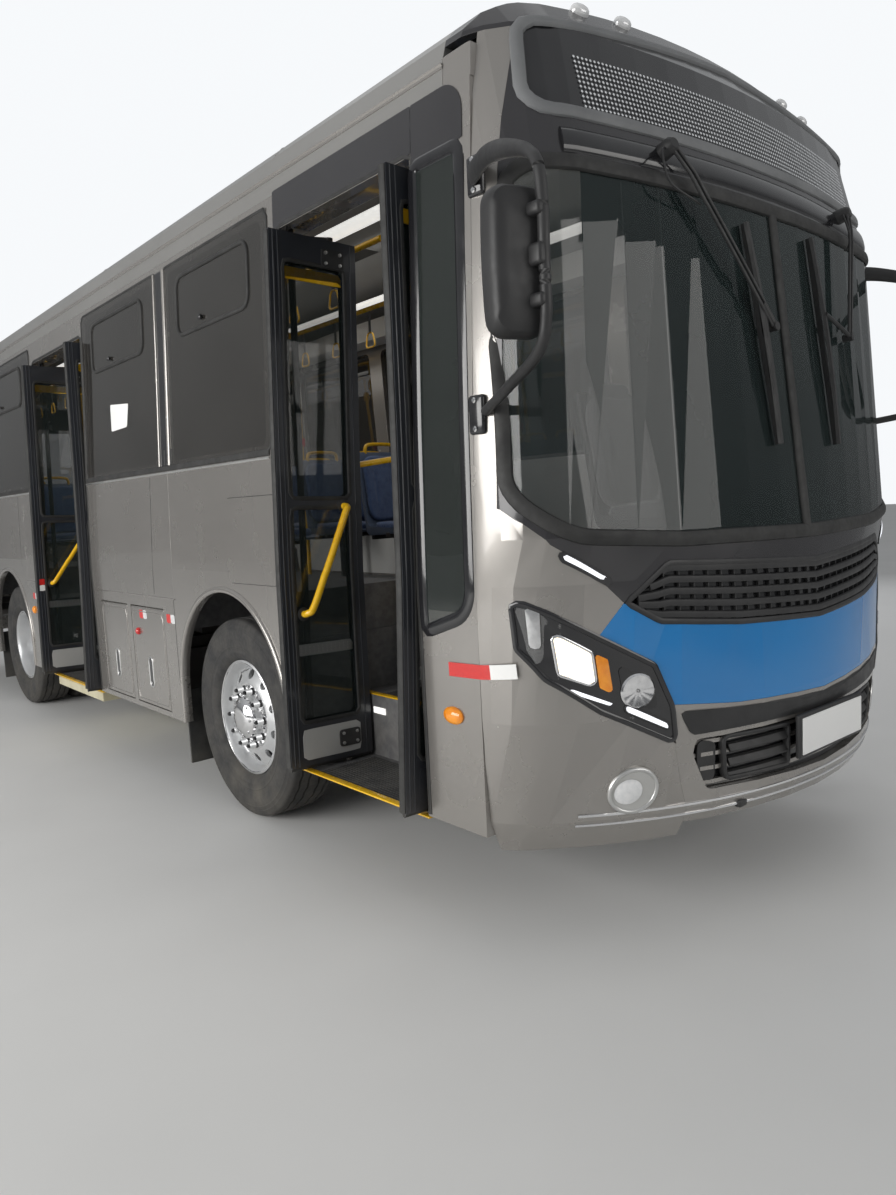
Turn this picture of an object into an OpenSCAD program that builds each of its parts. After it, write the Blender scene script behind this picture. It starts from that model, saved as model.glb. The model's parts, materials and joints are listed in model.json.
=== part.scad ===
// Short city bus with a front engine, a high floor and two inward gliding doors on its right side.
// The bus faces -Y, +Z is up and the doors are at -X. The origin is on the ground, midway in length.

/* [Body] */
// Width of the body at its widest
body_w = 2500; // [2400:10:2560]
// Height of the roof's crown above the ground
roof_z = 3180; // [3120:10:3240]
// Height of the lower edge of the side walls
skirt_z = 400; // [380:5:430]
// Distance from the front axle to the rear axle
wheelbase = 4000; // [3980:10:4120]
// Distance from the front axle to the foremost point of the bumper
front_overhang = 2400; // [2380:10:2460]
// Distance from the rear axle to the rear wall's outer face
rear_overhang = 2500; // [2420:10:2700]
// Thickness of the side walls with their lining
wall_t = 45; // [35:1:50]
// Thickness of the roof with its lining
roof_t = 45; // [30:1:70]
// Thickness of the moulded panels of the front
mask_t = 30; // [20:1:34]
// Gap between the moulded panels of the front
panel_gap = 0.6; // [0.4:0.1:0.9]

/* [Windows] */
// Height of the lower edge of the side windows
belt_z = 1820; // [1780:10:1860]
// Distance from the roof's crown down to the upper edge of the side windows
window_drop = 400; // [380:10:440]
// Corner radius of the side windows
window_r = 45; // [20:5:80]
// Thickness of every pane of glass
glass_t = 6; // [4:0.5:8]
// Gap between a pane and its frame
glass_gap = 0.4; // [0.3:0.1:0.8]

/* [Doors] */
// Width of the front door's opening
front_door_w = 900; // [880:10:920]
// Width of the middle door's opening
mid_door_w = 1080; // [1000:10:1120]
// Distance from the front axle to the rear edge of the front door's opening
front_door_back = 640; // [630:5:660]
// Distance from the front axle to the front edge of the middle door's opening
mid_door_front = 1900; // [1880:10:1940]
// Distance from the roof's crown down to the upper edge of both door openings
door_drop = 480; // [450:10:520]
// Height of the tread of the lowest step
step_z = 385; // [375:5:390]
// Thickness of a door leaf
leaf_t = 40; // [30:1:44]
// Width of the frame members of a door leaf
stile_w = 60; // [45:5:75]
// Gap between a leaf and the wall's opening
leaf_gap = 12; // [10:1:20]
// Gap between the two closed leaves of one door
leaf_meet_gap = 24; // [20:1:30]
// How far an open leaf stands out from the side of the body
leaf_proud = 80; // [60:5:100]
// Distance of a door's turning post outside the edge of the opening
post_out = 20; // [18:1:21]
// Depth of the turning post's axis behind the outer face of the wall
post_depth = 75; // [72:1:80]
// Distance of an open leaf's middle plane from the edge of the opening
leaf_stand = 49.5; // [49.5:0.5:60]
// Radius of the turning post
post_r = 15; // [12:1:17]

/* [Wheels] */
// Outer radius of the tyres
tyre_r = 505; // [490:1:510]
// Width of a tyre
tyre_w = 275; // [255:1:280]
// Radius of the rim's flange
rim_r = 293; // [285:1:297]
// Distance from the side of the body in to the middle of an outer tyre
tyre_in = 190; // [185:1:210]
// Distance between the middles of the twin rear tyres
twin_pitch = 315; // [300:1:325]
// Distance from the middle of a front tyre in to the kingpin's axis
kingpin_in = 110; // [100:1:130]
// Number of wheel studs
stud_count = 10; // [6:1:10]
// Radius of the wheel arches' openings
arch_r = 570; // [565:1:578]
// Height of the top of the wheel arches
arch_top_z = 1160; // [1140:5:1180]

/* [Chassis] */
// Distance between the outer faces of the frame rails
rail_span = 860; // [820:10:880]
// Height of the frame rails' lower flange above the ground
rail_z = 620; // [600:5:640]
// Depth of the frame rails
rail_h = 200; // [180:5:220]
// Height of the cabin floor's upper face
floor_z = 950; // [940:5:980]
// Thickness of the cabin floor
floor_t = 40; // [30:5:50]
// Diameter of the tow bore at each end
tow_bore_d = 40; // [30:1:46]

/* [Interior] */
// Distance between rows of passenger seats
seat_pitch = 760; // [740:10:800]
// Width of a double passenger seat
seat_w = 860; // [800:10:900]
// Radius of the grab rails
rail_tube_r = 16; // [12:1:20]
// Radius of the steering wheel
wheel_r = 235; // [200:5:250]

/* [Hidden] */
$fn = 64;
eps = 1;
side_x = body_w / 2;
front_axle_y = -wheelbase / 2;
rear_axle_y = wheelbase / 2;
nose_y = front_axle_y - front_overhang;
tail_y = rear_axle_y + rear_overhang;
track_half = side_x - tyre_in;
kingpin_x = track_half - kingpin_in;
window_top_z = roof_z - window_drop;
door_top_z = roof_z - door_drop;
corner_seam_y = nose_y + 550;
pillar_y = corner_seam_y - 98;
roof_seam_y = nose_y + 680;
rear_seam_y = tail_y - 260;
fd_back_y = front_axle_y - front_door_back;
fd_front_y = fd_back_y - front_door_w;
md_front_y = front_axle_y + mid_door_front;
md_back_y = md_front_y + mid_door_w;
wall_split_z = window_top_z + 70;
box_t = 8;
axle_z = tyre_r;

// Widths and upper heights are drawn for one body: wide and up carry them over to the sizes above
drawn_side = 1250;
drawn_roof = 3180;
drawn_waist = 1820;
function wide(x) = x * side_x / drawn_side;
function up(z) = z <= drawn_waist ? z : drawn_waist + (z - drawn_waist) * (roof_z - drawn_waist) /
    (drawn_roof - drawn_waist);
function drawn(pts) = [for (p = pts) [wide(p[0]), up(p[1]), p[2]]];

// Half section of the body: height, then how far the side has come in from its widest
side_line = [[skirt_z - 60, 0], [1250, 0], [1800, 21], [up(2400), 52], [up(2800), 70], [up(2940), 78]];
// Roof's shoulder, as distance in from the widest and distance below the crown
shoulder = [[98, 172], [142, 126], [215, 96]];
crown_pts = 7;
crown_half = side_x - shoulder[2][0];
crown_drop = shoulder[2][1];
crown_r = (crown_half * crown_half + crown_drop * crown_drop) / (2 * crown_drop);

function side_in(z) = lookup(z, side_line);
function wall_x(z) = side_x - side_in(z);

// Right half of the section, from the skirt up to the crown, moved in by t and open by o at its foot
function half_section(t, tr, o = 0) = concat(
    [[side_x - side_line[0][1] - t, side_line[0][0] - o]],
    [for (i = [1:len(side_line) - 1]) [side_x - side_line[i][1] - t, side_line[i][0]]],
    [for (p = shoulder) [side_x - p[0] - t, roof_z - p[1] - tr]],
    [for (i = [1:crown_pts - 1]) let (x = (crown_half - t) * (1 - i / crown_pts))
        [x, roof_z - tr - crown_r + sqrt(crown_r * crown_r - x * x)]],
    [[0, roof_z - tr]]);
function mirror_x(pts) = [for (i = [len(pts) - 1:-1:0]) if (pts[i][0] > 0) [-pts[i][0], pts[i][1]]];
function full_section(t, tr, o = 0) = concat(half_section(t, tr, o), mirror_x(half_section(t, tr, o)));

// Corners with a radius each, as x, y, r, turned into a polygon with round corners
function unit(v) = v / norm(v);
function corner_arc(a, b, c, r, n = 5) =
    let (u = unit([a[0] - b[0], a[1] - b[1]]), v = unit([c[0] - b[0], c[1] - b[1]]),
         half = acos(max(-1, min(1, u * v))) / 2, d = r / tan(half),
         m = [b[0], b[1]] + unit(u + v) * (r / sin(half)),
         s = [b[0], b[1]] + u * d - m, e = [b[0], b[1]] + v * d - m,
         a0 = atan2(s[1], s[0]), da = atan2(s[0] * e[1] - s[1] * e[0], s * e))
    [for (i = [0:n]) m + r * [cos(a0 + da * i / n), sin(a0 + da * i / n)]];
function rounded(pts) = [for (i = [0:len(pts) - 1]) let (n = len(pts), p = pts[i])
    each (p[2] > 0 ? corner_arc(pts[(i + n - 1) % n], p, pts[(i + 1) % n], p[2]) : [[p[0], p[1]]])];
function flip_x(pts) = [for (i = [len(pts) - 1:-1:0]) [-pts[i][0], pts[i][1], pts[i][2]]];

// Plan of the front at one height: distance back of its middle, bow radius, corner radius, half width
// The columns are height, distance back, bow radius, corner radius and how far the side has come in
front_levels = [
    [320, 60, 1700, 330, 22],
    [450, 2, 1800, 350, 2],
    [800, 0, 2200, 350, 0],
    [1250, 30, 2600, 330, 0],
    [1400, 50, 3200, 300, 6],
    [up(2540), 180, 4600, 280, 59],
    [up(3000), 300, 4600, 300, 82],
    [up(3260), 520, 4600, 300, 95]];
bow_n = 12;
corner_n = 5;
front_back_y = roof_seam_y + 200;
function front_ring(lv, t) =
    let (hw = side_x - lv[4] + 2 - t, rb = wide(lv[2]) - t, rc = wide(lv[3]) - t, cx = hw - rc,
         yc0 = nose_y + lv[1] + wide(lv[2]), cy = yc0 - sqrt((rb - rc) * (rb - rc) - cx * cx),
         a = asin(cx / (rb - rc)))
    concat([[-hw, front_back_y, lv[0]]],
        [for (i = [0:corner_n]) let (b = 90 - (90 - a) * i / corner_n)
            [-cx - rc * sin(b), cy - rc * cos(b), lv[0]]],
        [for (i = [1:bow_n - 1]) let (b = a - 2 * a * i / bow_n) [-rb * sin(b), yc0 - rb * cos(b), lv[0]]],
        [for (i = [0:corner_n]) let (b = a + (90 - a) * i / corner_n)
            [cx + rc * sin(b), cy - rc * cos(b), lv[0]]],
        [[hw, front_back_y, lv[0]]]);

module loft(rings) {
    n = len(rings[0]);
    m = len(rings);
    polyhedron(points = [for (r = rings) each r],
        faces = concat([[for (i = [0:n - 1]) i]], [[for (i = [n - 1:-1:0]) (m - 1) * n + i]],
            [for (j = [0:m - 2], i = [0:n - 1]) each let (k = (i + 1) % n)
                [[j * n + i, (j + 1) * n + i, (j + 1) * n + k], [j * n + i, (j + 1) * n + k, j * n + k]]]));
}

module front_form(t, o = 0) {
    loft([for (i = [0:len(front_levels) - 1]) let (lv = front_levels[i])
        front_ring([lv[0] - (i == 0 ? o : 0), lv[1], lv[2], lv[3], lv[4]], t)]);
}

// Prism of the body's section from one station to another
module body_prism(t, tr, y0, y1, o = 0) {
    translate([0, y1, 0]) rotate([90, 0, 0]) linear_extrude(y1 - y0) polygon(full_section(t, tr, o));
}

// Shell of the front between two depths, cut back to the body's section and to the seam
module front_shell(t0, t1, y_end) {
    difference() {
        intersection() {
            front_form(t0);
            body_prism(t0, t0, nose_y - 10, y_end);
        }
        intersection() {
            front_form(t1, 20);
            body_prism(t1, t1, nose_y - 10, y_end + 10, 20);
        }
    }
}

// Solid seen through an outline in front view
module front_window(pts, y1 = 0) {
    translate([0, roof_seam_y + 5, 0]) rotate([90, 0, 0]) linear_extrude(front_overhang) polygon(pts);
}
// Solid seen through an outline in side view, given as y, z, on the right, on the left or on both sides
module side_window(pts, x0, x1) {
    translate([x0, 0, 0]) rotate([90, 0, 90]) linear_extrude(x1 - x0) polygon(pts);
}
function rect(y0, y1, z0, z1, r) = rounded([[y0, z0, r], [y1, z0, r], [y1, z1, r], [y0, z1, r]]);

// Outlines of the front's pieces, right half, as x, z and corner radius. Neighbours share their points,
// each drawn back by the panel gap g.
g = panel_gap;
screen_half = drawn([[0, 1361, 0], [700, 1372, 0], [1236, 1412, 200], [1162, 2546, 70], [0, 2535, 0]]);
sign_half = drawn([[0, 2700, 0], [1100, 2712, 70], [1062, 3000, 60], [0, 3105, 0]]);
sweep_half = drawn([[0, 1256 + g, 0], [768, 1300 + g, 0], [925 + g, 1180 + g, 0], [1042, 1296, 0],
    [1157, 1382, 0],
    [1216, 1463, 0], [1300, 1640, 0]]);
grille_half = drawn([[0, 1045, 0], [471, 1071, 0], [803, 1107, 30], [925, 1180, 6], [768, 1300, 8],
    [0, 1256, 0]]);
panel_half = drawn([[0, 773, 0], [493, 796, 0], [769, 826, 8], [827, 967, 0], [1012, 1076, 8],
    [925, 1180 - g, 6],
    [803, 1107 - g, 30], [471, 1071 - g, 0], [0, 1045 - g, 0]]);
lamp_half = drawn([[748, 690, 16], [1009, 833, 60], [1160, 952, 60], [1214, 1050, 40], [1223, 1211, 12],
    [1123, 1143, 0], [1012 + g, 1076 - g, 0], [827 + g, 967 - g, 0], [769 + g, 826 - g, 0]]);
intake_half = drawn([[0, 487, 0], [620, 505, 30], [676, 640, 30], [669, 690, 20], [0, 690, 0]]);
bumper_half = drawn([[0, 388, 0], [680, 392, 0], [747, 667, 0], [748 - g, 688, 0], [769 - g, 826 - g, 0],
    [493, 796 - g, 0], [0, 773 - g, 0]]);
corner_half = drawn([[680 + g, 340, 0], [1300, 340, 0], [1300, 1640 - g, 0], [1216, 1463 - g, 0],
    [1157, 1382 - g, 0], [1042, 1296 - g, 0], [925 + g, 1180, 0], [1012 + g, 1076, 0], [1000, 1000, 0],
    [830, 760, 0], [748, 688, 0], [747 + g, 667, 0], [680 + g, 392, 0]]);
lamp_fit = 0.998;
lamp_mid = [wide(985), 960];
fog_at = [wide(882), 544];
// Top of the corner panels, where the mask runs on to the roof
corner_top_z = up(2985);
fog_r = 75;
function both(half) = rounded(concat(half, flip_x([for (p = half) if (p[0] > 0) p])));

// Windows of each side, as front edge and rear edge measured from the front axle
right_windows = [[-500, 500], [710, 1800], [3120, 4420], [4560, 6120]];
left_windows = [[-1600, -640], [-500, 500], [710, 1800], [1960, 3060], [3200, 4420], [4560, 6120]];
// Skirt hatches, as front edge and rear edge measured from the front axle
hatch_spans = [[750, 1245], [1300, 1765]];
hatch_z = [430, 1020];
hatch_t = 22;
hatch_gap = 6;
hatch_pin_r = 4;
hatch_axis_z = hatch_z[1] - hatch_gap - hatch_t / 2;
hatch_axis_x = -side_x + hatch_t / 2;
side_pane = [fd_front_y - 280, fd_front_y - 25, 1160, up(2640)];

function window_rect(w, g) = rect(front_axle_y + w[0] + g, front_axle_y + w[1] - g, belt_z + g,
    window_top_z - g,
    window_r - g);

module side_slab(t0, t1, s) {
    y0 = corner_seam_y;
    intersection() {
        difference() {
            body_prism(t0, t0, y0, rear_seam_y);
            body_prism(t1, t1, y0 - eps, rear_seam_y + eps, 20);
            translate([-side_x + 150, y0 - eps, 0]) cube([body_w - 300, tail_y - nose_y, roof_z + eps]);
        }
        translate([s > 0 ? 0 : -side_x - eps, y0, skirt_z]) cube([side_x + eps, rear_seam_y - y0,
            wall_split_z - skirt_z]);
    }
}

module arch_cut(y) {
    zc = arch_top_z - arch_r;
    translate([-side_x - 50, y, zc]) rotate([0, 90, 0]) cylinder(r = arch_r, h = body_w + 100, $fn = 96);
    translate([-side_x - 50, y - arch_r, skirt_z - 100]) cube([body_w + 100, 2 * arch_r,
        zc - skirt_z + 100]);
}

// The right wall's panels meet under the cant rail, along the belt and beside the arches
arch_seams = [front_axle_y + arch_r + 15, rear_axle_y - arch_r - 15, rear_axle_y + arch_r + 15];
module side_wall_right() color([0.62, 0.61, 0.6]) {
    for (h = hatch_spans, e = [0, 1]) translate([hatch_axis_x, front_axle_y + h[e] + (e == 0 ? -1 :
        -hatch_gap - 12),
            hatch_axis_z]) rotate([-90, 0, 0]) cylinder(r = hatch_pin_r, h = hatch_gap + 13);
    for (d = [[fd_front_y, fd_back_y], [md_front_y, md_back_y]])
        translate([-wall_x(drive_z) + wall_t - 5, d[0], drive_z])
            cube([120, d[1] - d[0], wall_split_z - drive_z - 10]);
    difference() {
        side_slab(0, wall_t, -1);
        for (w = right_windows) side_window(window_rect(w, 0), -side_x - eps, -side_x + 140);
        for (y = [front_axle_y, rear_axle_y]) arch_cut(y);
        side_window(rect(side_pane[0], side_pane[1], side_pane[2], side_pane[3], 30), -side_x - eps,
            -side_x + 140);
        for (d = [[fd_front_y, fd_back_y], [md_front_y, md_back_y]])
            translate([-side_x - eps, d[0], skirt_z - eps])
                cube([140, d[1] - d[0], door_top_z - skirt_z + eps]);
        for (h = hatch_spans)
            translate([-side_x - eps, front_axle_y + h[0], hatch_z[0]])
                cube([140, h[1] - h[0], hatch_z[1] - hatch_z[0]]);
        for (z = [belt_z - g, door_top_z]) translate([-side_x - eps, corner_seam_y - eps, z])
            cube([140, rear_seam_y - corner_seam_y + 2 * eps, g]);
        for (y = arch_seams) translate([-side_x - eps, y, skirt_z - eps]) cube([140, g, belt_z - skirt_z + eps]);
    }
}
module side_wall_left() color([0.62, 0.61, 0.6]) {
    difference() {
        side_slab(0, wall_t, 1);
        for (w = left_windows) side_window(window_rect(w, 0), side_x - 140, side_x + eps);
        for (y = [front_axle_y, rear_axle_y]) arch_cut(y);
    }
}

module side_glass() color([0.16, 0.18, 0.19]) {
    intersection() {
        side_slab(2, 2 + glass_t, -1);
        union() {
            for (w = right_windows) side_window(window_rect(w, glass_gap), -side_x - eps, -side_x + 140);
            side_window(rect(side_pane[0] + glass_gap, side_pane[1] - glass_gap, side_pane[2] + glass_gap,
                side_pane[3] - glass_gap, 30), -side_x - eps, -side_x + 140);
        }
    }
    intersection() {
        side_slab(2, 2 + glass_t, 1);
        for (w = left_windows) side_window(window_rect(w, glass_gap), side_x - 140, side_x + eps);
    }
}

// Roof hatches, as middle station and length
roof_hatch_y = [front_axle_y + 900, rear_axle_y + 300];
roof_hatch_l = 680;
roof_hatch_w = 640;
// Hatch hinge: its axis ahead of the lid and above the roof, its knuckles and the pins that carry them
lid_axis = [roof_hatch_l / 2 + 18, 14];
knuckle_r = 9;
knuckle_x = [180, 220];
lid_pin_r = 4;
// The roof's panels meet ahead of and behind each hatch
module roof_shell() color([0.72, 0.72, 0.72]) {
    difference() {
        body_prism(0, 0, roof_seam_y, rear_seam_y);
        body_prism(wall_t, roof_t, roof_seam_y - eps, rear_seam_y + eps);
        translate([-side_x - eps, roof_seam_y - eps, 0])
            cube([body_w + 2 * eps, rear_seam_y - roof_seam_y + 2 * eps, wall_split_z]);
        for (y = roof_hatch_y) translate([-roof_hatch_w / 2 + 40, y - roof_hatch_l / 2 + 40, roof_z - 200])
            cube([roof_hatch_w - 80, roof_hatch_l - 80, 300]);
        for (y = roof_hatch_y, e = [40 - roof_hatch_l / 2 - g, roof_hatch_l / 2 - 40])
            translate([-side_x - eps, y + e, wall_split_z - eps]) cube([body_w + 2 * eps, g, roof_z]);
    }
    for (y = roof_hatch_y, s = [0, 1]) mirror([s, 0, 0]) translate([knuckle_x[1] + 0.5, y - lid_axis[0],
        roof_z]) {
        translate([0, -knuckle_r, -20]) cube([12, 2 * knuckle_r, 20 + lid_axis[1] + knuckle_r]);
        translate([-30, 0, lid_axis[1]]) rotate([0, 90, 0]) cylinder(r = lid_pin_r, h = 31);
    }
}
module roof_hatch(y) color([0.75, 0.75, 0.75]) {
    difference() {
        union() {
            translate([-roof_hatch_w / 2, y - roof_hatch_l / 2, roof_z + 0.4])
                linear_extrude(45) polygon(rounded([[0, 0, 60], [roof_hatch_w, 0, 60],
                    [roof_hatch_w, roof_hatch_l, 60],
                    [0, roof_hatch_l, 60]]));
            for (s = [0, 1]) mirror([s, 0, 0]) translate([knuckle_x[0], y - lid_axis[0],
                roof_z + lid_axis[1]]) {
                rotate([0, 90, 0]) cylinder(r = knuckle_r, h = knuckle_x[1] - knuckle_x[0]);
                translate([0, 0, -knuckle_r + 2]) cube([knuckle_x[1] - knuckle_x[0], 40,
                    2 * knuckle_r - 4]);
            }
        }
        for (s = [0, 1]) mirror([s, 0, 0]) translate([knuckle_x[0] + 8, y - lid_axis[0],
            roof_z + lid_axis[1]])
            rotate([0, 90, 0]) cylinder(r = lid_pin_r + 0.3, h = 40);
        translate([-roof_hatch_w / 2 + 20, y - roof_hatch_l / 2 + 20, roof_z - eps])
            cube([roof_hatch_w - 40, roof_hatch_l - 40, 28]);
    }
}
module roof_hatch_front() { roof_hatch(roof_hatch_y[0]); }
module roof_hatch_rear() { roof_hatch(roof_hatch_y[1]); }

rear_plan_r = 170;
rear_glass_rect = [-wide(820), wide(820), 1760, up(2560)];
module rear_form(t, tr, o = 0) {
    y0 = rear_seam_y;
    intersection() {
        body_prism(t, tr, y0 - eps - o, tail_y + 10, o);
        linear_extrude(roof_z + 10) polygon(rounded([[-side_x + t - 5, y0 - 50, 0],
            [side_x - t + 5, y0 - 50, 0],
            [side_x - t + 5, tail_y - t, rear_plan_r], [-side_x + t - 5, tail_y - t, rear_plan_r]]));
    }
}
module rear_wall() color([0.62, 0.61, 0.6]) {
    difference() {
        rear_form(0, 0);
        rear_form(wall_t, roof_t, 20);
        translate([-side_x - 10, rear_seam_y - 60, 0]) cube([body_w + 20, 60, roof_z + 10]);
        translate([-side_x - 10, rear_seam_y - 60, 0]) cube([body_w + 20, 800, skirt_z]);
        translate([0, tail_y + 20, 0]) rotate([90, 0, 0]) linear_extrude(200)
            polygon(rounded([[rear_glass_rect[0], rear_glass_rect[2], 90],
                [rear_glass_rect[1], rear_glass_rect[2], 90],
                [rear_glass_rect[1], rear_glass_rect[3], 90], [rear_glass_rect[0], rear_glass_rect[3],
                    90]]));
        translate([-side_x - 10, tail_y - 120, skirt_z - 10]) cube([body_w + 20, 200, bumper_h + 10]);
        lamp_row(0.4);
    }
}
module rear_glass() color([0.16, 0.18, 0.19]) {
    g = glass_gap;
    translate([0, tail_y - 2, 0]) rotate([90, 0, 0]) linear_extrude(glass_t)
        polygon(rounded([[rear_glass_rect[0] + g, rear_glass_rect[2] + g, 90],
            [rear_glass_rect[1] - g, rear_glass_rect[2] + g, 90],
            [rear_glass_rect[1] - g, rear_glass_rect[3] - g, 90],
                [rear_glass_rect[0] + g, rear_glass_rect[3] - g, 90]]));
}
bumper_h = 150;
module rear_bumper() color([0.25, 0.25, 0.26]) {
    translate([0, 0, skirt_z]) difference() {
        linear_extrude(bumper_h - 3) polygon(rounded([[-side_x + 4, tail_y - 119.7, 0],
            [side_x - 4, tail_y - 119.7, 0],
            [side_x - 4, tail_y, 110], [-side_x + 4, tail_y, 110]]));
        translate([0, 0, -eps]) linear_extrude(bumper_h) polygon([[-side_x + 44, tail_y - 130],
            [side_x - 44, tail_y - 130], [side_x - 44, tail_y - 70], [-side_x + 44, tail_y - 70]]);
    }
}
tail_lamp_t = 14;
module lamp_row(g) {
    for (s = [-1, 1], z = [980, 1130, 1280]) translate([s * (side_x - 230), tail_y - tail_lamp_t - g, z])
        rotate([-90, 0, 0])
        cylinder(r = 58 + g, h = tail_lamp_t + (g > 0 ? 10 : 0));
}
module tail_lamps() color([0.7, 0.08, 0.06]) {
    lamp_row(0);
}

// Front pieces
module front_mask() color([0.2, 0.2, 0.21]) {
    difference() {
        front_shell(0, mask_t, roof_seam_y - panel_gap);
        front_window(both(screen_half));
        front_window(both(sign_half));
        front_window(concat([[-side_x - 150, 0], [side_x + 150, 0]], both_open(sweep_half)));
        translate([-side_x - 10, pillar_y, 0]) cube([body_w + 20, 1200, corner_top_z]);
    }
}
// Open line from the right end to the left end of a mirrored half line
function both_open(half) = concat([for (i = [len(half) - 1:-1:0]) [half[i][0], half[i][1]]],
    [for (p = half) if (p[0] > 0) [-p[0], p[1]]]);

module front_corners() color([0.62, 0.61, 0.6]) {
    difference() {
        front_shell(0, mask_t, corner_seam_y - panel_gap);
        translate([-side_x - 10, nose_y - 10, corner_top_z - panel_gap]) cube([body_w + 20, 1500, roof_z]);
        difference() {
            translate([-side_x - 10, nose_y - 10, 0]) cube([body_w + 20,
                pillar_y + panel_gap - nose_y + 10, roof_z]);
            for (s = [0, 1]) mirror([s, 0, 0]) front_window(rounded(corner_half));
        }
        for (s = [0, 1]) mirror([s, 0, 0]) {
            front_window(rounded(lamp_half));
            translate([fog_at[0], nose_y - 10, fog_at[1]]) rotate([-90, 0, 0]) cylinder(r = fog_r, h = 600);
        }
    }
}
module headlamps() color([0.85, 0.86, 0.88]) {
    intersection() {
        front_shell(3, 3 + 50, corner_seam_y - 1);
        for (s = [0, 1]) mirror([s, 0, 0]) {
            front_window(rounded([for (p = lamp_half)
                [(p[0] - lamp_mid[0]) * lamp_fit + lamp_mid[0],
                    (p[1] - lamp_mid[1]) * lamp_fit + lamp_mid[1], p[2]]]));
            translate([fog_at[0], nose_y - 10, fog_at[1]]) rotate([-90, 0, 0])
                cylinder(r = fog_r - 0.5, h = 600);
        }
    }
}
module front_bumper() color([0.6, 0.6, 0.6]) {
    difference() {
        intersection() {
            front_shell(0, mask_t + 10, corner_seam_y);
            front_window(both(bumper_half));
        }
        front_window(both(intake_half));
    }
    // Slats of the lower intake, carried by its sides
    intersection() {
        front_shell(12, mask_t, corner_seam_y);
        for (z = [520, 570, 620, 665]) translate([-wide(676), nose_y - 10, z]) cube([wide(1352), 600, 14]);
    }
}
module front_grille() color([0.07, 0.07, 0.07]) {
    lid_t = 10;
    intersection() {
        front_shell(4, 4 + lid_t, corner_seam_y);
        front_window(both(grille_half));
    }
    intersection() {
        front_shell(0, 6, corner_seam_y);
        for (i = [0:4]) front_window(both(drawn([[0, 1062 + 40 * i, 0], [471, 1086 + 38 * i, 0],
            [800 - 4 * i, 1124 + 33 * i, 0], [800 - 4 * i, 1142 + 33 * i, 0], [471, 1104 + 38 * i, 0],
            [0, 1080 + 40 * i, 0]])));
    }
}
module front_panel() color([0.02, 0.42, 0.8]) {
    intersection() {
        front_shell(0, 10, corner_seam_y);
        front_window(both(panel_half));
    }
}
module windscreen() color([0.2, 0.24, 0.25]) {
    intersection() {
        front_shell(3, 3 + glass_t, pillar_y - 1);
        front_window(both([for (p = screen_half) [p[0] > 0 ? p[0] - glass_gap : 0,
            p[1] > 2000 ? p[1] - glass_gap : p[1] + glass_gap, p[2]]]));
    }
}
module destination_sign() color([0.05, 0.05, 0.06]) {
    intersection() {
        difference() {
            front_shell(3, 3 + 40, roof_seam_y - 10);
            translate([-side_x, pillar_y - 1, 0]) cube([body_w, 2000, corner_top_z]);
        }
        front_window(both([for (p = sign_half) [p[0] > 0 ? p[0] - glass_gap : 0,
            p[1] > up(2900) ? p[1] - glass_gap : p[1] + glass_gap, p[2]]]));
    }
}

// Mirror on its tube, standing ahead of the front corner
mirror_y = nose_y - 86;
mirror_arm = [[side_x - 35, nose_y + 510, 1720], [side_x + 50, nose_y + 340, 1700],
    [side_x + 180, mirror_y + 30, up(1860)], [side_x + 190, mirror_y + 10, up(2060)],
    [side_x + 190, mirror_y + 10, up(2420)], [side_x + 150, mirror_y + 70, up(2500)],
    [side_x - 60, nose_y + 510, up(2540)]];
// Ring of a tube at one point of its route, square to the route's direction there
function tube_ring(pts, i, r, n) =
    let (m = len(pts) - 1, d = unit(pts[min(i + 1, m)] - pts[max(i - 1, 0)]),
         u = unit(cross(d, abs(d[0]) > 0.9 ? [0, 0, 1] : [1, 0, 0])), v = cross(d, u))
    [for (k = [0:n - 1]) pts[i] + r * (cos(360 * k / n) * u + sin(360 * k / n) * v)];
module tube(pts, r, n = 12) {
    loft([for (i = [0:len(pts) - 1]) tube_ring(pts, i, r, n)]);
}
module side_mirror() color([0.06, 0.06, 0.06]) {
    difference() {
        tube(mirror_arm, 17);
        intersection() {
            front_form(-0.4);
            body_prism(-0.4, -0.4, nose_y - 10, corner_seam_y + 200);
        }
    }
    translate([side_x + 250, mirror_y, up(2230)]) rotate([0, 0, 14]) translate([-85, 0, -230])
        linear_extrude(460)
        polygon(rounded([[0, 0, 30], [190, 0, 30], [190, 80, 30], [0, 80, 30]]));
}
module mirrors() for (m = [0, 1]) mirror([m, 0, 0]) side_mirror();

// Wipers hung above the windscreen, as pivot, elbow and the two ends of the blade, as x, z
wiper_sets = [for (w = [[-618, 2630, -169, 2088, -250, 2450, -187, 1676],
    [600, 2630, 468, 2111, 215, 2471, 265, 1679]])
    [for (i = [0:7]) i % 2 == 0 ? wide(w[i]) : up(w[i])]];
// Distance back of the front's surface at a place, near enough to lay the wipers on
function front_back(x, z) =
    let (rb = lookup(z, [for (l = front_levels) [l[0], wide(l[2])]]),
        y0 = lookup(z, [for (l = front_levels) [l[0], l[1]]]))
    nose_y + y0 + rb - sqrt(rb * rb - x * x);
module wipers() color([0.05, 0.05, 0.05]) {
    difference() {
        for (w = wiper_sets) {
            p = function (x, z, o) [x, front_back(x, z) - o, z];
            translate(p(w[0], w[1], -10)) rotate([90, 0, 0]) cylinder(r = 26, h = 60);
            tube([p(w[0], w[1], 38), p(w[2], w[3], 40)], 9);
            tube([p(w[0] + 20, w[1], 40), p(w[2], w[3], 44)], 6);
            tube([p(w[4], w[5], 9), p(w[2], w[3], 34), p(w[6], w[7], 9)], 9);
        }
        front_form(-0.4);
    }
}

// Chassis
rail_x = rail_span / 2;
rail_w = 70;
rail_web = 8;
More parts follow.
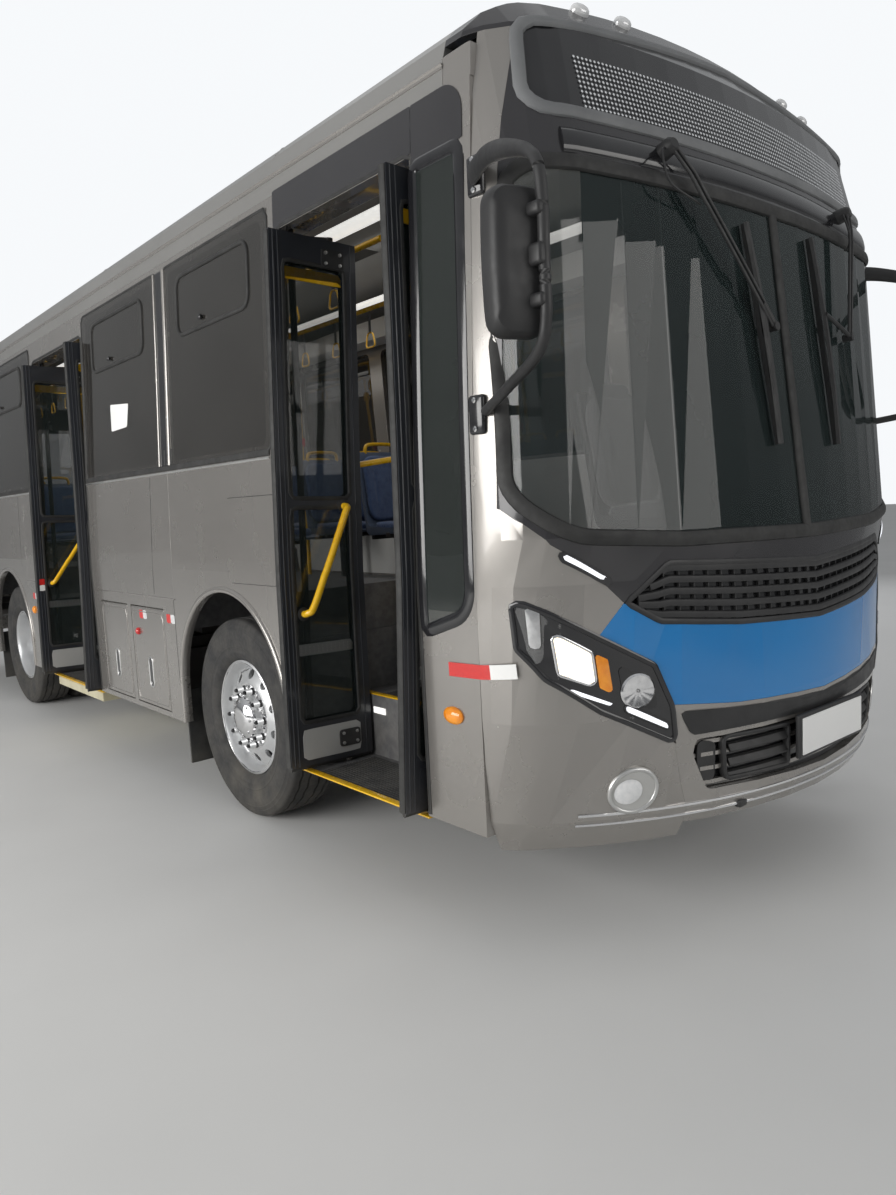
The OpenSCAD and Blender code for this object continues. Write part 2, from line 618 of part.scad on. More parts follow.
// Spring hangers, as station from the front axle
hanger_y = [-620, 620, wheelbase - 680, wheelbase + 680];
spring_x = 470;
spring_w = 76;
spring_end_z = 616;
// Gap between pieces that are riveted or bolted to each other
seat_gap = 0.3;
module chassis_frame() color([0.12, 0.12, 0.13]) {
    difference() {
        for (s = [-1, 1]) translate([s > 0 ? rail_x - rail_w : -rail_x, nose_y + 230, rail_z])
            cube([rail_w, tail_y - nose_y - 430, rail_h]);
        for (s = [-1, 1]) translate([s > 0 ? rail_x - rail_w - rail_web : -rail_x + rail_web,
            nose_y + 200, rail_z + rail_web])
            cube([rail_w, tail_y - nose_y, rail_h - 2 * rail_web]);
    }
}
// Cross members between the rails' webs; the end ones carry the tow bores
cross_w = rail_span - 2 * rail_web - 2 * seat_gap;
module cross_members() color([0.13, 0.13, 0.14]) {
    difference() {
        union() {
            for (y = [nose_y + 230, front_axle_y + 620, front_axle_y + 1800, rear_axle_y - 800,
                rear_axle_y + 700,
                    tail_y - 280])
                translate([-cross_w / 2, y, rail_z + 60]) cube([cross_w, 80, rail_h - 80]);
            for (y = [nose_y + 130, tail_y - 210]) translate([-60, y, rail_z + 60]) cube([120, 110, 60]);
        }
        for (y = [nose_y + 180, tail_y - 150]) translate([0, y, rail_z - 20])
            cylinder(d = tow_bore_d, h = 240);
    }
}
// Outriggers that carry the body, engine bearers and spring hangers
module outriggers() color([0.14, 0.14, 0.15]) {
    for (y = [nose_y + 640, front_axle_y + 900, front_axle_y + 1750, rear_axle_y - 950, rear_axle_y + 750,
            rear_axle_y + 1500], s = [0, 1]) mirror([s, 0, 0])
        translate([rail_x + seat_gap, y, rail_z + rail_h - 60])
            cube([side_x - wall_t - rail_x - 2 * seat_gap, 60, 60]);
    for (s = [0, 1], y = [150, 650]) mirror([s, 0, 0]) translate([engine_box[3] / 2 + seat_gap,
        engine_box[1] + y, rail_z + 30])
        cube([rail_x - rail_web - engine_box[3] / 2 - 2 * seat_gap, 90, 60]);
    for (y = hanger_y, s = [0, 1]) mirror([s, 0, 0])
        translate([rail_x + seat_gap, front_axle_y + y - 40, spring_end_z + seat_gap])
            cube([spring_x + spring_w / 2 - rail_x - seat_gap, 80, 120]);
}
// Engine as one block: corner x, y, z and its size
engine_box = [-300, nose_y + 420, 560, 600, 900, 640];
module engine_block() color([0.25, 0.26, 0.27]) {
    translate([engine_box[0], engine_box[1], engine_box[2]]) cube([engine_box[3], engine_box[4],
        engine_box[5]]);
}
cover_h = 320;
module engine_cover() color([0.16, 0.16, 0.17]) {
    difference() {
        translate([-380, nose_y + 330, floor_z + 0.4]) cube([760, 1120, cover_h]);
        translate([-350, nose_y + 360, floor_z - 1]) cube([700, 1060, cover_h - 20]);
    }
}
// Gearbox and shaft down to the nose of the rear axle
shaft_z = 640;
shaft_fall = 2;
nose_len = 260;
module drive_shaft() color([0.3, 0.3, 0.3]) {
    y0 = engine_box[1] + engine_box[4] + 0.4;
    y1 = front_axle_y - 230;
    translate([0, y0, shaft_z]) rotate([-90, 0, 0]) cylinder(r = 130, h = y1 - y0);
    translate([0, y1 - eps, shaft_z]) rotate([-90 - shaft_fall, 0, 0])
        cylinder(r = 45, h = (rear_axle_y - nose_len - 3 - y1) / cos(shaft_fall));
}
module tanks() color([0.14, 0.14, 0.15]) {
    translate([-side_x + 90, front_axle_y + 830, rail_z + rail_h - 60.4 - 330]) rotate([-90, 0, 0])
        linear_extrude(860)
        polygon(rounded([[0, 0, 60], [480, 0, 60], [480, -330, 60], [0, -330, 60]]));
    for (x = [630, 350]) translate([side_x - x, front_axle_y + 900, rail_z + rail_h - 60.4 - 125])
        rotate([-90, 0, 0]) cylinder(r = 125, h = 800);
}
// Exhaust: pipe from the engine's rear, silencer under the left side and tail pipe inside the twin tyres
silencer_r = 140;
silencer_at = [side_x - 490, front_axle_y + 2150, rail_z + rail_h - 60.4 - silencer_r];
silencer_l = 1000;
tail_pipe_x = (spring_x + spring_w / 2 + track_half - twin_pitch - tyre_w / 2) / 2;
pipe_r = 35;
module exhaust() color([0.35, 0.34, 0.33]) {
    y0 = silencer_at[1];
    y1 = y0 + silencer_l;
    z = silencer_at[2];
    translate(silencer_at) rotate([-90, 0, 0]) cylinder(r = silencer_r, h = silencer_l);
    tube([[engine_box[3] / 2 - 60, engine_box[1] + engine_box[4] + 1.6, 605],
        [engine_box[3] / 2 - 60, front_axle_y, 570],
        [engine_box[3] / 2 + 20, y0 - 900, 560], [engine_box[3] / 2 + 40, y0 - 420, 560],
        [silencer_at[0] - 30, y0 - 130, z - 25], [silencer_at[0], y0 + 40, z]], pipe_r, 16);
    tube([[silencer_at[0], y1 - 40, z], [silencer_at[0] - 30, y1 + 40, z + 30],
        [tail_pipe_x, y1 + 170, z + 75],
        [tail_pipe_x, rear_axle_y + 1100, z + 75], [tail_pipe_x + 60, rear_axle_y + 1700, z - 60],
        [tail_pipe_x + 120, rear_seam_y + 20, skirt_z - 60], [tail_pipe_x + 120, tail_y - 30,
            skirt_z - 60]], pipe_r, 16);
}

knuckle_boss_r = 50;
pin_r = 22;
spindle_r = 40;
beam_half = [[kingpin_x - 390, axle_z - 125], [kingpin_x - 190, axle_z - 45], [kingpin_x, axle_z - 45],
    [kingpin_x, axle_z + 45], [kingpin_x - 210, axle_z + 45], [kingpin_x - 410, axle_z - 30]];
module front_axle() color([0.13, 0.13, 0.14]) {
    difference() {
        union() {
            rotate([90, 0, 0]) translate([0, 0, -front_axle_y - 40]) linear_extrude(80)
                polygon(concat(beam_half, mirror_x(beam_half)));
            for (s = [-1, 1]) translate([s * kingpin_x, front_axle_y, axle_z - 50])
                cylinder(r = knuckle_boss_r, h = 100);
        }
        for (s = [-1, 1]) translate([s * kingpin_x, front_axle_y, axle_z - 60])
            cylinder(r = pin_r + 0.3, h = 120);
    }
}
// Outer face of the knuckle's web, from the kingpin
web_out = 88;
module knuckle() color([0.2, 0.2, 0.21]) {
    translate([kingpin_x, front_axle_y, axle_z - 95]) cylinder(r = pin_r, h = 190);
    for (z = [-88, 52]) translate([kingpin_x, front_axle_y, axle_z + z]) {
        cylinder(r = 45, h = 36);
        translate([0, -45, 0]) cube([web_out, 90, 36]);
    }
    translate([kingpin_x + 58, front_axle_y - 60, axle_z - 88]) cube([web_out - 58, 120, 176]);
    translate([kingpin_x + 80, front_axle_y, axle_z]) rotate([0, 90, 0]) cylinder(r = spindle_r, h = 150);
}
module knuckle_left() { knuckle(); }
module knuckle_right() { mirror([1, 0, 0]) knuckle(); }

module rear_axle() color([0.13, 0.13, 0.14]) {
    translate([0, rear_axle_y, axle_z]) {
        rotate([0, 90, 0]) translate([0, 0, 420 - track_half]) cylinder(r = 70, h = 2 * track_half - 840);
        rotate([0, 90, 0]) translate([0, 0, -track_half]) cylinder(r = spindle_r, h = 2 * track_half);
        rotate([90, 0, 0]) rotate_extrude() polygon([[0, -110], [150, -110], [200, -60], [200, 60],
            [130, 110],
            [110, 200], [60, nose_len], [0, nose_len]]);
    }
}
module leaf_springs() color([0.1, 0.1, 0.1]) {
    for (s = [-1, 1]) {
        translate([s * spring_x - spring_w / 2, front_axle_y, 0]) rotate([90, 0, 90])
            linear_extrude(spring_w)
            polygon([[-660, 598], [-300, 520], [0, axle_z - 29.6], [300, 520], [660, 598],
                [660, spring_end_z],
                [300, 560], [0, 545], [-300, 560], [-660, spring_end_z]]);
        translate([s * spring_x - spring_w / 2, rear_axle_y, 0]) rotate([90, 0, 90])
            linear_extrude(spring_w)
            polygon([[-720, 598], [-340, 590], [0, axle_z + 70.4], [340, 590], [720, 598],
                [720, spring_end_z],
                [640, spring_end_z], [340, 640], [0, 660], [-340, 640], [-640, spring_end_z],
                    [-720, spring_end_z]]);
    }
}

// Wheels, drawn about the local z axis with the outer side up
module tyre_shape() {
    h = tyre_w / 2;
    rotate_extrude($fn = 96) polygon(rounded([[rim_r - 2, -h + 40, 0], [rim_r + 25, -h + 12, 20],
        [tyre_r - 90, -h, 60],
        [tyre_r, -h + 24, 30], [tyre_r, h - 24, 30], [tyre_r - 90, h, 60], [rim_r + 25, h - 12, 20],
            [rim_r - 2, h - 40, 0],
        [rim_r - 20, h - 60, 0], [rim_r - 20, -h + 60, 0]]));
}
barrel_t = 10;
// Half the distance between the bead seats' outer edges
bead_z = tyre_w / 2 - 40;
module barrel(z0) {
    translate([0, 0, z0]) rotate_extrude($fn = 96) polygon([[rim_r - 2.3, -bead_z - 0.9],
        [rim_r - 2.3, -bead_z - 6],
        [rim_r - 12, -bead_z - 11], [rim_r - 20.4, -bead_z - 3], [rim_r - 20.4 - barrel_t, -bead_z + 17],
        [rim_r - 32 - barrel_t, -bead_z + 57], [rim_r - 32 - barrel_t, bead_z - 57],
            [rim_r - 20.4 - barrel_t, bead_z - 17],
        [rim_r - 20.4, bead_z + 3], [rim_r - 12, bead_z + 11], [rim_r - 2.3, bead_z + 6],
            [rim_r - 2.3, bead_z + 0.9],
        [rim_r - 20.4, bead_z - 19], [rim_r - 30.4, bead_z - 57], [rim_r - 30.4, -bead_z + 57],
            [rim_r - 20.4, -bead_z + 19]]);
}
hub_in = kingpin_x + web_out + 0.4 - track_half;
module front_rim_shape() {
    difference() {
        union() {
            barrel(0);
            rotate_extrude($fn = 96) polygon([[spindle_r + 0.3, hub_in], [150, hub_in], [150, 60],
                [165, 70], [rim_r - 40, 30],
                [rim_r - 40, 46], [175, 88], [110, 88], [100, 130], [60, 145], [0, 145], [0, 125],
                    [spindle_r + 0.3, 125]]);
        }
        for (i = [0:stud_count - 1]) rotate([0, 0, i * 360 / stud_count]) translate([215, 0, 0])
            cylinder(r = 24, h = 120);
    }
    for (i = [0:stud_count - 1]) rotate([0, 0, (i + 0.5) * 360 / stud_count]) translate([142, 0, 87])
        cylinder(r = 16, h = 42);
}
module rear_rim_shape() {
    difference() {
        union() {
            barrel(0);
            barrel(-twin_pitch);
            rotate_extrude($fn = 96) polygon([[spindle_r + 0.3, -260], [140, -260], [140, -165],
                [180, -165],
                [rim_r - 40, -195], [rim_r - 40, -230], [rim_r - 28, -232], [rim_r - 28, -180], [200, -146],
                [rim_r - 40, -112 + 60], [rim_r - 40, -30], [190, -130], [120, -130], [112, 10],
                    [70, 30], [0, 30],
                [0, 4], [spindle_r + 0.3, 4]]);
        }
        for (i = [0:stud_count - 1]) rotate([0, 0, i * 360 / stud_count]) translate([222, 0, -110])
            cylinder(r = 22, h = 90);
    }
    for (i = [0:stud_count - 1]) rotate([0, 0, (i + 0.5) * 360 / stud_count]) translate([160, 0, -131])
        cylinder(r = 16, h = 42);
}
module place_wheel(s, y) {
    translate([s * track_half, y, axle_z]) rotate([0, s * 90, 0]) children();
}
module front_tyre_right() color([0.06, 0.06, 0.06]) place_wheel(-1, front_axle_y) tyre_shape();
module front_tyre_left() color([0.06, 0.06, 0.06]) place_wheel(1, front_axle_y) tyre_shape();
module front_rim_right() color([0.8, 0.8, 0.81]) place_wheel(-1, front_axle_y) front_rim_shape();
module front_rim_left() color([0.8, 0.8, 0.81]) place_wheel(1, front_axle_y) front_rim_shape();
module twin_tyres() {
    tyre_shape();
    translate([0, 0, -twin_pitch]) tyre_shape();
}
module rear_tyres_right() color([0.06, 0.06, 0.06]) place_wheel(-1, rear_axle_y) twin_tyres();
module rear_tyres_left() color([0.06, 0.06, 0.06]) place_wheel(1, rear_axle_y) twin_tyres();
module rear_rims_right() color([0.8, 0.8, 0.81]) place_wheel(-1, rear_axle_y) rear_rim_shape();
module rear_rims_left() color([0.8, 0.8, 0.81]) place_wheel(1, rear_axle_y) rear_rim_shape();

// Cabin floor with its step wells and wheel boxes
well_side = 44;
well_t = 12;
box_y = 575;
front_box_x = side_x - 660;
rear_box_x = side_x - 675;
floor_x = side_x - wall_t - seat_gap;
function leaf_w(w) = w / 2 - leaf_gap - leaf_meet_gap / 2;
// Reach of an open leaf inward from the side, and of its pivot from its inner end. The arm is as long
// when the leaf is closed, with its pivot just inside the wall, as when it stands square to the wall.
function leaf_reach(w) = leaf_w(w) - leaf_proud;
function pivot_in(w) =
    let (r = leaf_reach(w) - post_depth, q = leaf_gap + post_out, e = leaf_stand + post_out,
        d = post_depth - leaf_t / 2)
    (r * r + e * e - d * d - q * q) / (2 * (r + q));
// Step wells, as front edge, rear edge and door width
wells = [[fd_front_y, fd_back_y, front_door_w], [md_front_y, md_back_y, mid_door_w]];
step_run = 240;
mid_step_z = (step_z + floor_z) / 2;
function well_in(w) = -side_x + leaf_reach(w[2]) + 20;
// The floor's boards meet at the front and rear edge of each step well, wheel box and the engine's box
board_cuts = concat([for (w = wells) let (e = well_side + well_t + seat_gap) [w[0] - e, w[1] + e]],
    [for (y = [front_axle_y, rear_axle_y]) let (e = box_y + box_t + seat_gap) [y - e, y + e]],
    [[engine_box[1] - 30, engine_box[1] + engine_box[4] + 30]]);
module cabin_floor() color([0.3, 0.3, 0.31]) {
    translate([0, 0, floor_z - floor_t]) linear_extrude(floor_t) difference() {
        polygon([[-floor_x, rear_seam_y + 40], [-floor_x, corner_seam_y + 20], [-880, nose_y + 300],
            [880, nose_y + 300],
            [floor_x, corner_seam_y + 20], [floor_x, rear_seam_y + 40],
                [floor_x - rear_plan_r, tail_y - wall_t - seat_gap],
            [rear_plan_r - floor_x, tail_y - wall_t - seat_gap]]);
        for (w = wells) translate([-side_x, w[0] - well_side - well_t - seat_gap])
            square([side_x + well_in(w) + step_run + well_t + seat_gap,
                w[1] - w[0] + 2 * (well_side + well_t + seat_gap)]);
        for (y = [front_axle_y, rear_axle_y], s = [0, 1]) mirror([s, 0])
            translate([(y == front_axle_y ? front_box_x : rear_box_x) - box_t - seat_gap,
                y - box_y - box_t - seat_gap])
            square([side_x, 2 * (box_y + box_t + seat_gap)]);
        translate([engine_box[0] - 30, engine_box[1] - 30]) square([engine_box[3] + 60,
            engine_box[4] + 60]);
        for (b = board_cuts, y = [b[0] - g, b[1]]) translate([-side_x, y]) square([body_w, g]);
    }
}
module step_wells() color([0.34, 0.34, 0.35]) {
    for (w = wells) let (xi = well_in(w), l = w[1] - w[0] + 2 * well_side) difference() {
        translate([-floor_x, w[0] - well_side - well_t, step_z - well_t])
            cube([floor_x + xi + step_run + well_t, l + 2 * well_t, floor_z - step_z + well_t]);
        translate([-floor_x - eps, w[0] - well_side, step_z]) cube([floor_x + xi + eps, l, 900]);
        translate([xi - eps, w[0] - well_side, mid_step_z]) cube([step_run + eps, l, 900]);
        translate([xi + well_t, w[0] - well_side - well_t - eps, step_z - well_t - eps])
            cube([step_run + eps, l + 2 * well_t + 2 * eps, mid_step_z - step_z]);
    }
}
module wheel_boxes() color([0.28, 0.28, 0.29]) {
    for (y = [front_axle_y, rear_axle_y], s = [0, 1]) mirror([s, 0, 0])
        let (xi = y == front_axle_y ? front_box_x : rear_box_x) difference() {
            translate([xi - box_t, y - box_y - box_t, floor_z - floor_t])
                cube([floor_x - xi + box_t, 2 * box_y + 2 * box_t, arch_top_z + box_t - floor_z + floor_t]);
            translate([xi, y - box_y, 0]) cube([side_x, 2 * box_y, arch_top_z]);
        }
}
module lift_platform() color([0.8, 0.76, 0.55]) {
    w = wells[1];
    translate([-side_x + 20, w[0] + 60, step_z - well_t - 60.4]) cube([760, w[1] - w[0] - 120, 60]);
}

// Doors: each leaf is drawn closed in the wall's curve, then swung open on its post
door_tilt = atan((wall_x(skirt_z) - wall_x(door_top_z)) / (door_top_z - skirt_z));
module to_door() { translate([-side_x, 0, skirt_z]) rotate([0, door_tilt, 0]) children(); }
module from_door() { rotate([0, -door_tilt, 0]) translate([side_x, 0, -skirt_z]) children(); }
leaf_z = [step_z + 30, door_top_z - 24];
// Underside of the drive box over each door
drive_z = door_top_z + 20;
post_z = [(step_z + 0.3 - skirt_z + (post_depth + post_r) * sin(door_tilt)) / cos(door_tilt),
    (drive_z - 0.3 - skirt_z + (post_depth - post_r) * sin(door_tilt)) / cos(door_tilt)];
// s is 1 for the leaf at the opening's front edge and -1 for the one at its rear edge
module closed_leaf(edge, w, s) {
    y0 = s > 0 ? edge + leaf_gap : edge - leaf_gap - leaf_w(w);
    mid_z = 1560;
    difference() {
        intersection() {
            difference() {
                body_prism(0, 0, y0, y0 + leaf_w(w));
                body_prism(leaf_t, leaf_t, y0 - eps, y0 + leaf_w(w) + eps, 20);
            }
            translate([-side_x - eps, y0 - eps, leaf_z[0]]) cube([300, leaf_w(w) + 2 * eps,
                leaf_z[1] - leaf_z[0]]);
        }
        for (z = [[leaf_z[0] + 190, mid_z - 20], [mid_z + 20, leaf_z[1] - 110]])
            side_window(rect(y0 + stile_w, y0 + leaf_w(w) - stile_w, z[0], z[1], 25), -side_x - eps,
                -side_x + 200);
    }
    intersection() {
        difference() {
            body_prism(14, 14, y0, y0 + leaf_w(w));
            body_prism(14 + glass_t, 14 + glass_t, y0 - eps, y0 + leaf_w(w) + eps);
        }
        for (z = [[leaf_z[0] + 190, mid_z - 20], [mid_z + 20, leaf_z[1] - 110]])
            side_window(rect(y0 + stile_w + 0.4, y0 + leaf_w(w) - stile_w - 0.4, z[0] + 0.4, z[1] - 0.4,
                25),
                -side_x - eps, -side_x + 200);
    }
}
arm_t = 10;
// Undersides of the arms below and above each leaf, along the post from the skirt
arm_levels = [-2, door_top_z - skirt_z - 16];
sleeve_r = post_r + 4;
pin_len = 40;
module door_leaf(edge, w, s) color([0.06, 0.06, 0.06]) {
    pc = [leaf_t / 2, edge + s * (leaf_gap + pivot_in(w))];
    po = [leaf_reach(w) - pivot_in(w), edge + s * leaf_stand];
    to_door() translate([po[0], po[1], 0]) rotate([0, 0, s * 90])
        translate([-pc[0], -pc[1], 0]) difference() {
        from_door() closed_leaf(edge, w, s);
        for (h = [arm_levels[0] + arm_t, arm_levels[1] - pin_len - 2]) translate([pc[0], pc[1], h])
            cylinder(r = 8.3, h = pin_len + 2);
    }
}
module door_post(edge, w, s) color([0.1, 0.1, 0.1]) {
    py = edge - s * post_out;
    arm = [leaf_reach(w) - pivot_in(w) - post_depth, edge + s * leaf_stand - py];
    to_door() {
        translate([post_depth, py, post_z[0]]) cylinder(r = post_r, h = post_z[1] - post_z[0]);
        for (h = arm_levels) translate([post_depth, py, h]) {
            cylinder(r = sleeve_r, h = arm_t);
            rotate([0, 0, atan2(arm[1], arm[0])]) translate([0, -14, 0]) cube([norm(arm), 28, arm_t]);
            translate([arm[0], arm[1], 0]) cylinder(r = 18, h = arm_t);
            translate([arm[0], arm[1], h < 0 ? arm_t - eps : eps - pin_len]) cylinder(r = 8, h = pin_len);
        }
    }
}
module front_door_post_a() { door_post(fd_front_y, front_door_w, 1); }
module front_door_leaf_a() { door_leaf(fd_front_y, front_door_w, 1); }
module front_door_post_b() { door_post(fd_back_y, front_door_w, -1); }
module front_door_leaf_b() { door_leaf(fd_back_y, front_door_w, -1); }
module mid_door_post_a() { door_post(md_front_y, mid_door_w, 1); }
module mid_door_leaf_a() { door_leaf(md_front_y, mid_door_w, 1); }
module mid_door_post_b() { door_post(md_back_y, mid_door_w, -1); }
module mid_door_leaf_b() { door_leaf(md_back_y, mid_door_w, -1); }

// Hatch hung at its rounded top edge, with a bore at each end for the wall's pins
module skirt_hatch(h) color([0.66, 0.65, 0.64]) {
    y0 = front_axle_y + h[0] + hatch_gap;
    len_y = h[1] - h[0] - 2 * hatch_gap;
    difference() {
        union() {
            translate([-side_x, y0, hatch_z[0] + hatch_gap])
                cube([hatch_t, len_y, hatch_axis_z - hatch_z[0] - hatch_gap]);
            translate([hatch_axis_x, y0, hatch_axis_z]) rotate([-90, 0, 0])
                cylinder(r = hatch_t / 2, h = len_y);
        }
        for (y = [y0 - eps, y0 + len_y - 14]) translate([hatch_axis_x, y, hatch_axis_z])
            rotate([-90, 0, 0]) cylinder(r = hatch_pin_r + 0.3, h = 15);
    }
}
module skirt_hatch_front() { skirt_hatch(hatch_spans[0]); }
module skirt_hatch_rear() { skirt_hatch(hatch_spans[1]); }

// Seats: side outline of the shell, as y, z and corner radius, facing -y
seat_outline = [[-230, 400, 40], [210, 380, 60], [300, 960, 30], [250, 970, 20], [175, 490, 40],
    [-230, 470, 30]];
// A seat's back stands on its pan, and the legs stand under the cross bar
back_z = 500;
bar_z = 370;
module double_seat() difference() {
    seat_shape();
    translate([-20, -300, back_z]) cube([seat_w + 40, 700, seat_gap]);
    translate([-20, -300, bar_z - seat_gap]) cube([seat_w + 40, 700, seat_gap]);
}
module seat_shape() {
    for (x = [0, seat_w / 2 + 5]) translate([x, 0, 0]) rotate([90, 0, 90]) linear_extrude(seat_w / 2 - 5)
        polygon(rounded(seat_outline));
    translate([-10, -60, bar_z]) cube([seat_w + 20, 40, 40]);
    for (x = [120, seat_w - 160]) translate([x, -60, 0.4]) cube([40, 40, bar_z]);
    translate([0, 180, 420]) cube([seat_w, 30, 40]);
}
// Distance of a double seat in from the floor's edge
seat_in = 32;
// Rows of seats, as side, station of the first row from the front axle and number of rows
seat_rows = [[1, 760, 3], [-1, 790, 2], [1, 4700, 2], [-1, 4700, 2]];
module passenger_seats() color([0.15, 0.3, 0.55]) {
    for (r = seat_rows, i = [0:r[2] - 1])
        translate([r[0] > 0 ? floor_x - seat_w - seat_in : -floor_x + seat_in,
            front_axle_y + r[1] + i * seat_pitch, floor_z])
            double_seat();
}
driver_at = [side_x - 610, nose_y + 1180];
module driver_seat() color([0.1, 0.1, 0.11]) {
    translate([driver_at[0] - 250, driver_at[1], floor_z]) {
        rotate([90, 0, 90]) linear_extrude(500)
            polygon(rounded([[-250, 430, 40], [230, 400, 60], [360, 1150, 40], [270, 1170, 40],
                [170, 540, 40], [-250, 530, 40]]));
        translate([100, -150, 0.4]) cube([300, 300, 440]);
    }
}
wheel_at = [driver_at[0], nose_y + 780, 1680];
wheel_tilt = -25;
module dashboard() color([0.13, 0.13, 0.14]) {
    z0 = floor_z + cover_h + 1;
    translate([-200, 0, 0]) rotate([90, 0, 90]) linear_extrude(side_x + 30)
        polygon(rounded([[nose_y + 340, z0, 0], [nose_y + 340, 1370, 30], [nose_y + 480, 1420, 40],
            [nose_y + 640, 1370, 30], [nose_y + 660, z0, 0]]));
    translate([driver_at[0] - 240, nose_y + 340, floor_z + 0.4]) cube([460, 150, cover_h + 1]);
    translate(wheel_at) rotate([wheel_tilt, 0, 0]) translate([0, 0, -400]) cylinder(r = 30, h = 399.6);
}
module steering_wheel() color([0.07, 0.07, 0.07]) {
    translate(wheel_at) rotate([wheel_tilt, 0, 0]) {
        rotate_extrude($fn = 64) translate([wheel_r, 0]) circle(r = 14, $fn = 24);
        cylinder(r = 60, h = 20);
        for (i = [0:3]) rotate([0, 0, 45 + 90 * i]) translate([40, -12, 2]) cube([wheel_r - 45, 24, 12]);
    }
}
stanchion_y = [md_front_y + 20, md_back_y + 60, rear_axle_y + 300];
grab_x = side_x - 830;
grab_z = roof_z - 320;
module grab_rails() color([0.95, 0.75, 0.05]) {
    for (s = [-1, 1]) {
        translate([s * grab_x, corner_seam_y + 1500, grab_z]) rotate([-90, 0, 0])
            cylinder(r = rail_tube_r, h = tail_y - corner_seam_y - 2000);
        for (y = stanchion_y) translate([s * grab_x, y, floor_z + 0.4])
            cylinder(r = rail_tube_r, h = grab_z - floor_z);
    }
    for (y = stanchion_y) translate([-grab_x, y, grab_z]) rotate([0, 90, 0])
        cylinder(r = rail_tube_r, h = 2 * grab_x);
}

chassis_frame();
cross_members();
outriggers();
engine_block();
engine_cover();
drive_shaft();
exhaust();
tanks();
front_axle();
rear_axle();
leaf_springs();
cabin_floor();
step_wells();
wheel_boxes();
side_wall_right();
side_wall_left();
roof_shell();
rear_wall();
rear_bumper();
tail_lamps();
front_mask();
front_corners();
front_bumper();
front_grille();
front_panel();
headlamps();
windscreen();
destination_sign();
side_glass();
rear_glass();
mirrors();
wipers();
driver_seat();
passenger_seats();
dashboard();
steering_wheel();
grab_rails();
roof_hatch_front();
roof_hatch_rear();
lift_platform();
knuckle_right();
knuckle_left();
front_tyre_right();
front_tyre_left();
front_rim_right();
front_rim_left();
rear_tyres_right();
rear_tyres_left();
rear_rims_right();
rear_rims_left();
front_door_post_a();
front_door_leaf_a();
front_door_post_b();
front_door_leaf_b();
mid_door_post_a();
mid_door_leaf_a();
mid_door_post_b();
mid_door_leaf_b();
skirt_hatch_front();
skirt_hatch_rear();
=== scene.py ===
# Short city bus with gliding doors: looks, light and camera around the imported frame
import json
import math
import bpy
import bmesh
import numpy as np
from mathutils import Matrix, Vector


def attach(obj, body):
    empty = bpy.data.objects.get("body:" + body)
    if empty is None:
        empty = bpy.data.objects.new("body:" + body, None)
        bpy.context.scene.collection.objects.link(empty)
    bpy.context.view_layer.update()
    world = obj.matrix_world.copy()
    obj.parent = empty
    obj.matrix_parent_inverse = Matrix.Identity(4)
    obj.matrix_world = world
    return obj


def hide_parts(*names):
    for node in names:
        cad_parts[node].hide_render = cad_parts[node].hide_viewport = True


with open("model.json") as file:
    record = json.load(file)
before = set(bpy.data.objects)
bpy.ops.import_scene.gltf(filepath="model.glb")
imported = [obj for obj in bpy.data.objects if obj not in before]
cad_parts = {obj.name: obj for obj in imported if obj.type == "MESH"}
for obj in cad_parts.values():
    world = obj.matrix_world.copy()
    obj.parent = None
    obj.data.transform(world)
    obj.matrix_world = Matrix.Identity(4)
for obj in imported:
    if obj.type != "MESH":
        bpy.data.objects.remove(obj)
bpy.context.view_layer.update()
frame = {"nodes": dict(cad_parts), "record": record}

print("frame loaded:", len(frame["nodes"]), "nodes")

# Main sizes of the body, metres; the bus faces -Y and its doors are at -X
body = dict(sideX=1.25, noseY=-4.4, tailY=4.5, frontAxleY=-2.0, rearAxleY=2.0, axleZ=0.505, trackHalf=1.06,
            beltZ=1.82, windowTopZ=2.78, roofZ=3.18, skirtZ=0.40)
frontDoor = dict(front=-3.54, back=-2.64, width=0.9)
midDoor = dict(front=-0.10, back=0.98, width=1.08)
nodeBody = {n: b for b, ns in frame["record"]["behaviour"]["bodies"].items() for n in ns}



# Camera at the photo's place; pitch, yaw and roll are turned into the camera's own axes
camSetup = dict(place=(-3.125, -5.918, 1.522), yaw=0.70359, pitch=-0.10791, roll=-0.04955, lens=25.908)


def makeCamera(c):
    # forward = (sin yaw cos pitch, cos yaw cos pitch, sin pitch); right and up are turned about it by the roll
    f = Vector((math.sin(c["yaw"]) * math.cos(c["pitch"]), math.cos(c["yaw"]) * math.cos(c["pitch"]), math.sin(c["pitch"])))
    r0 = Vector((math.cos(c["yaw"]), -math.sin(c["yaw"]), 0.0))
    u0 = r0.cross(f)
    right = math.cos(c["roll"]) * r0 + math.sin(c["roll"]) * u0
    up = -math.sin(c["roll"]) * r0 + math.cos(c["roll"]) * u0
    data = bpy.data.cameras.new("photoCamera")
    data.sensor_width = 36.0
    data.lens = c["lens"]
    data.clip_end = 200.0
    cam = bpy.data.objects.new("photoCamera", data)
    cam.matrix_world = Matrix((right, up, -f)).transposed().to_4x4()
    cam.location = c["place"]
    bpy.context.collection.objects.link(cam)
    bpy.context.scene.camera = cam


makeCamera(camSetup)
bpy.context.scene.view_settings.view_transform = "Standard"

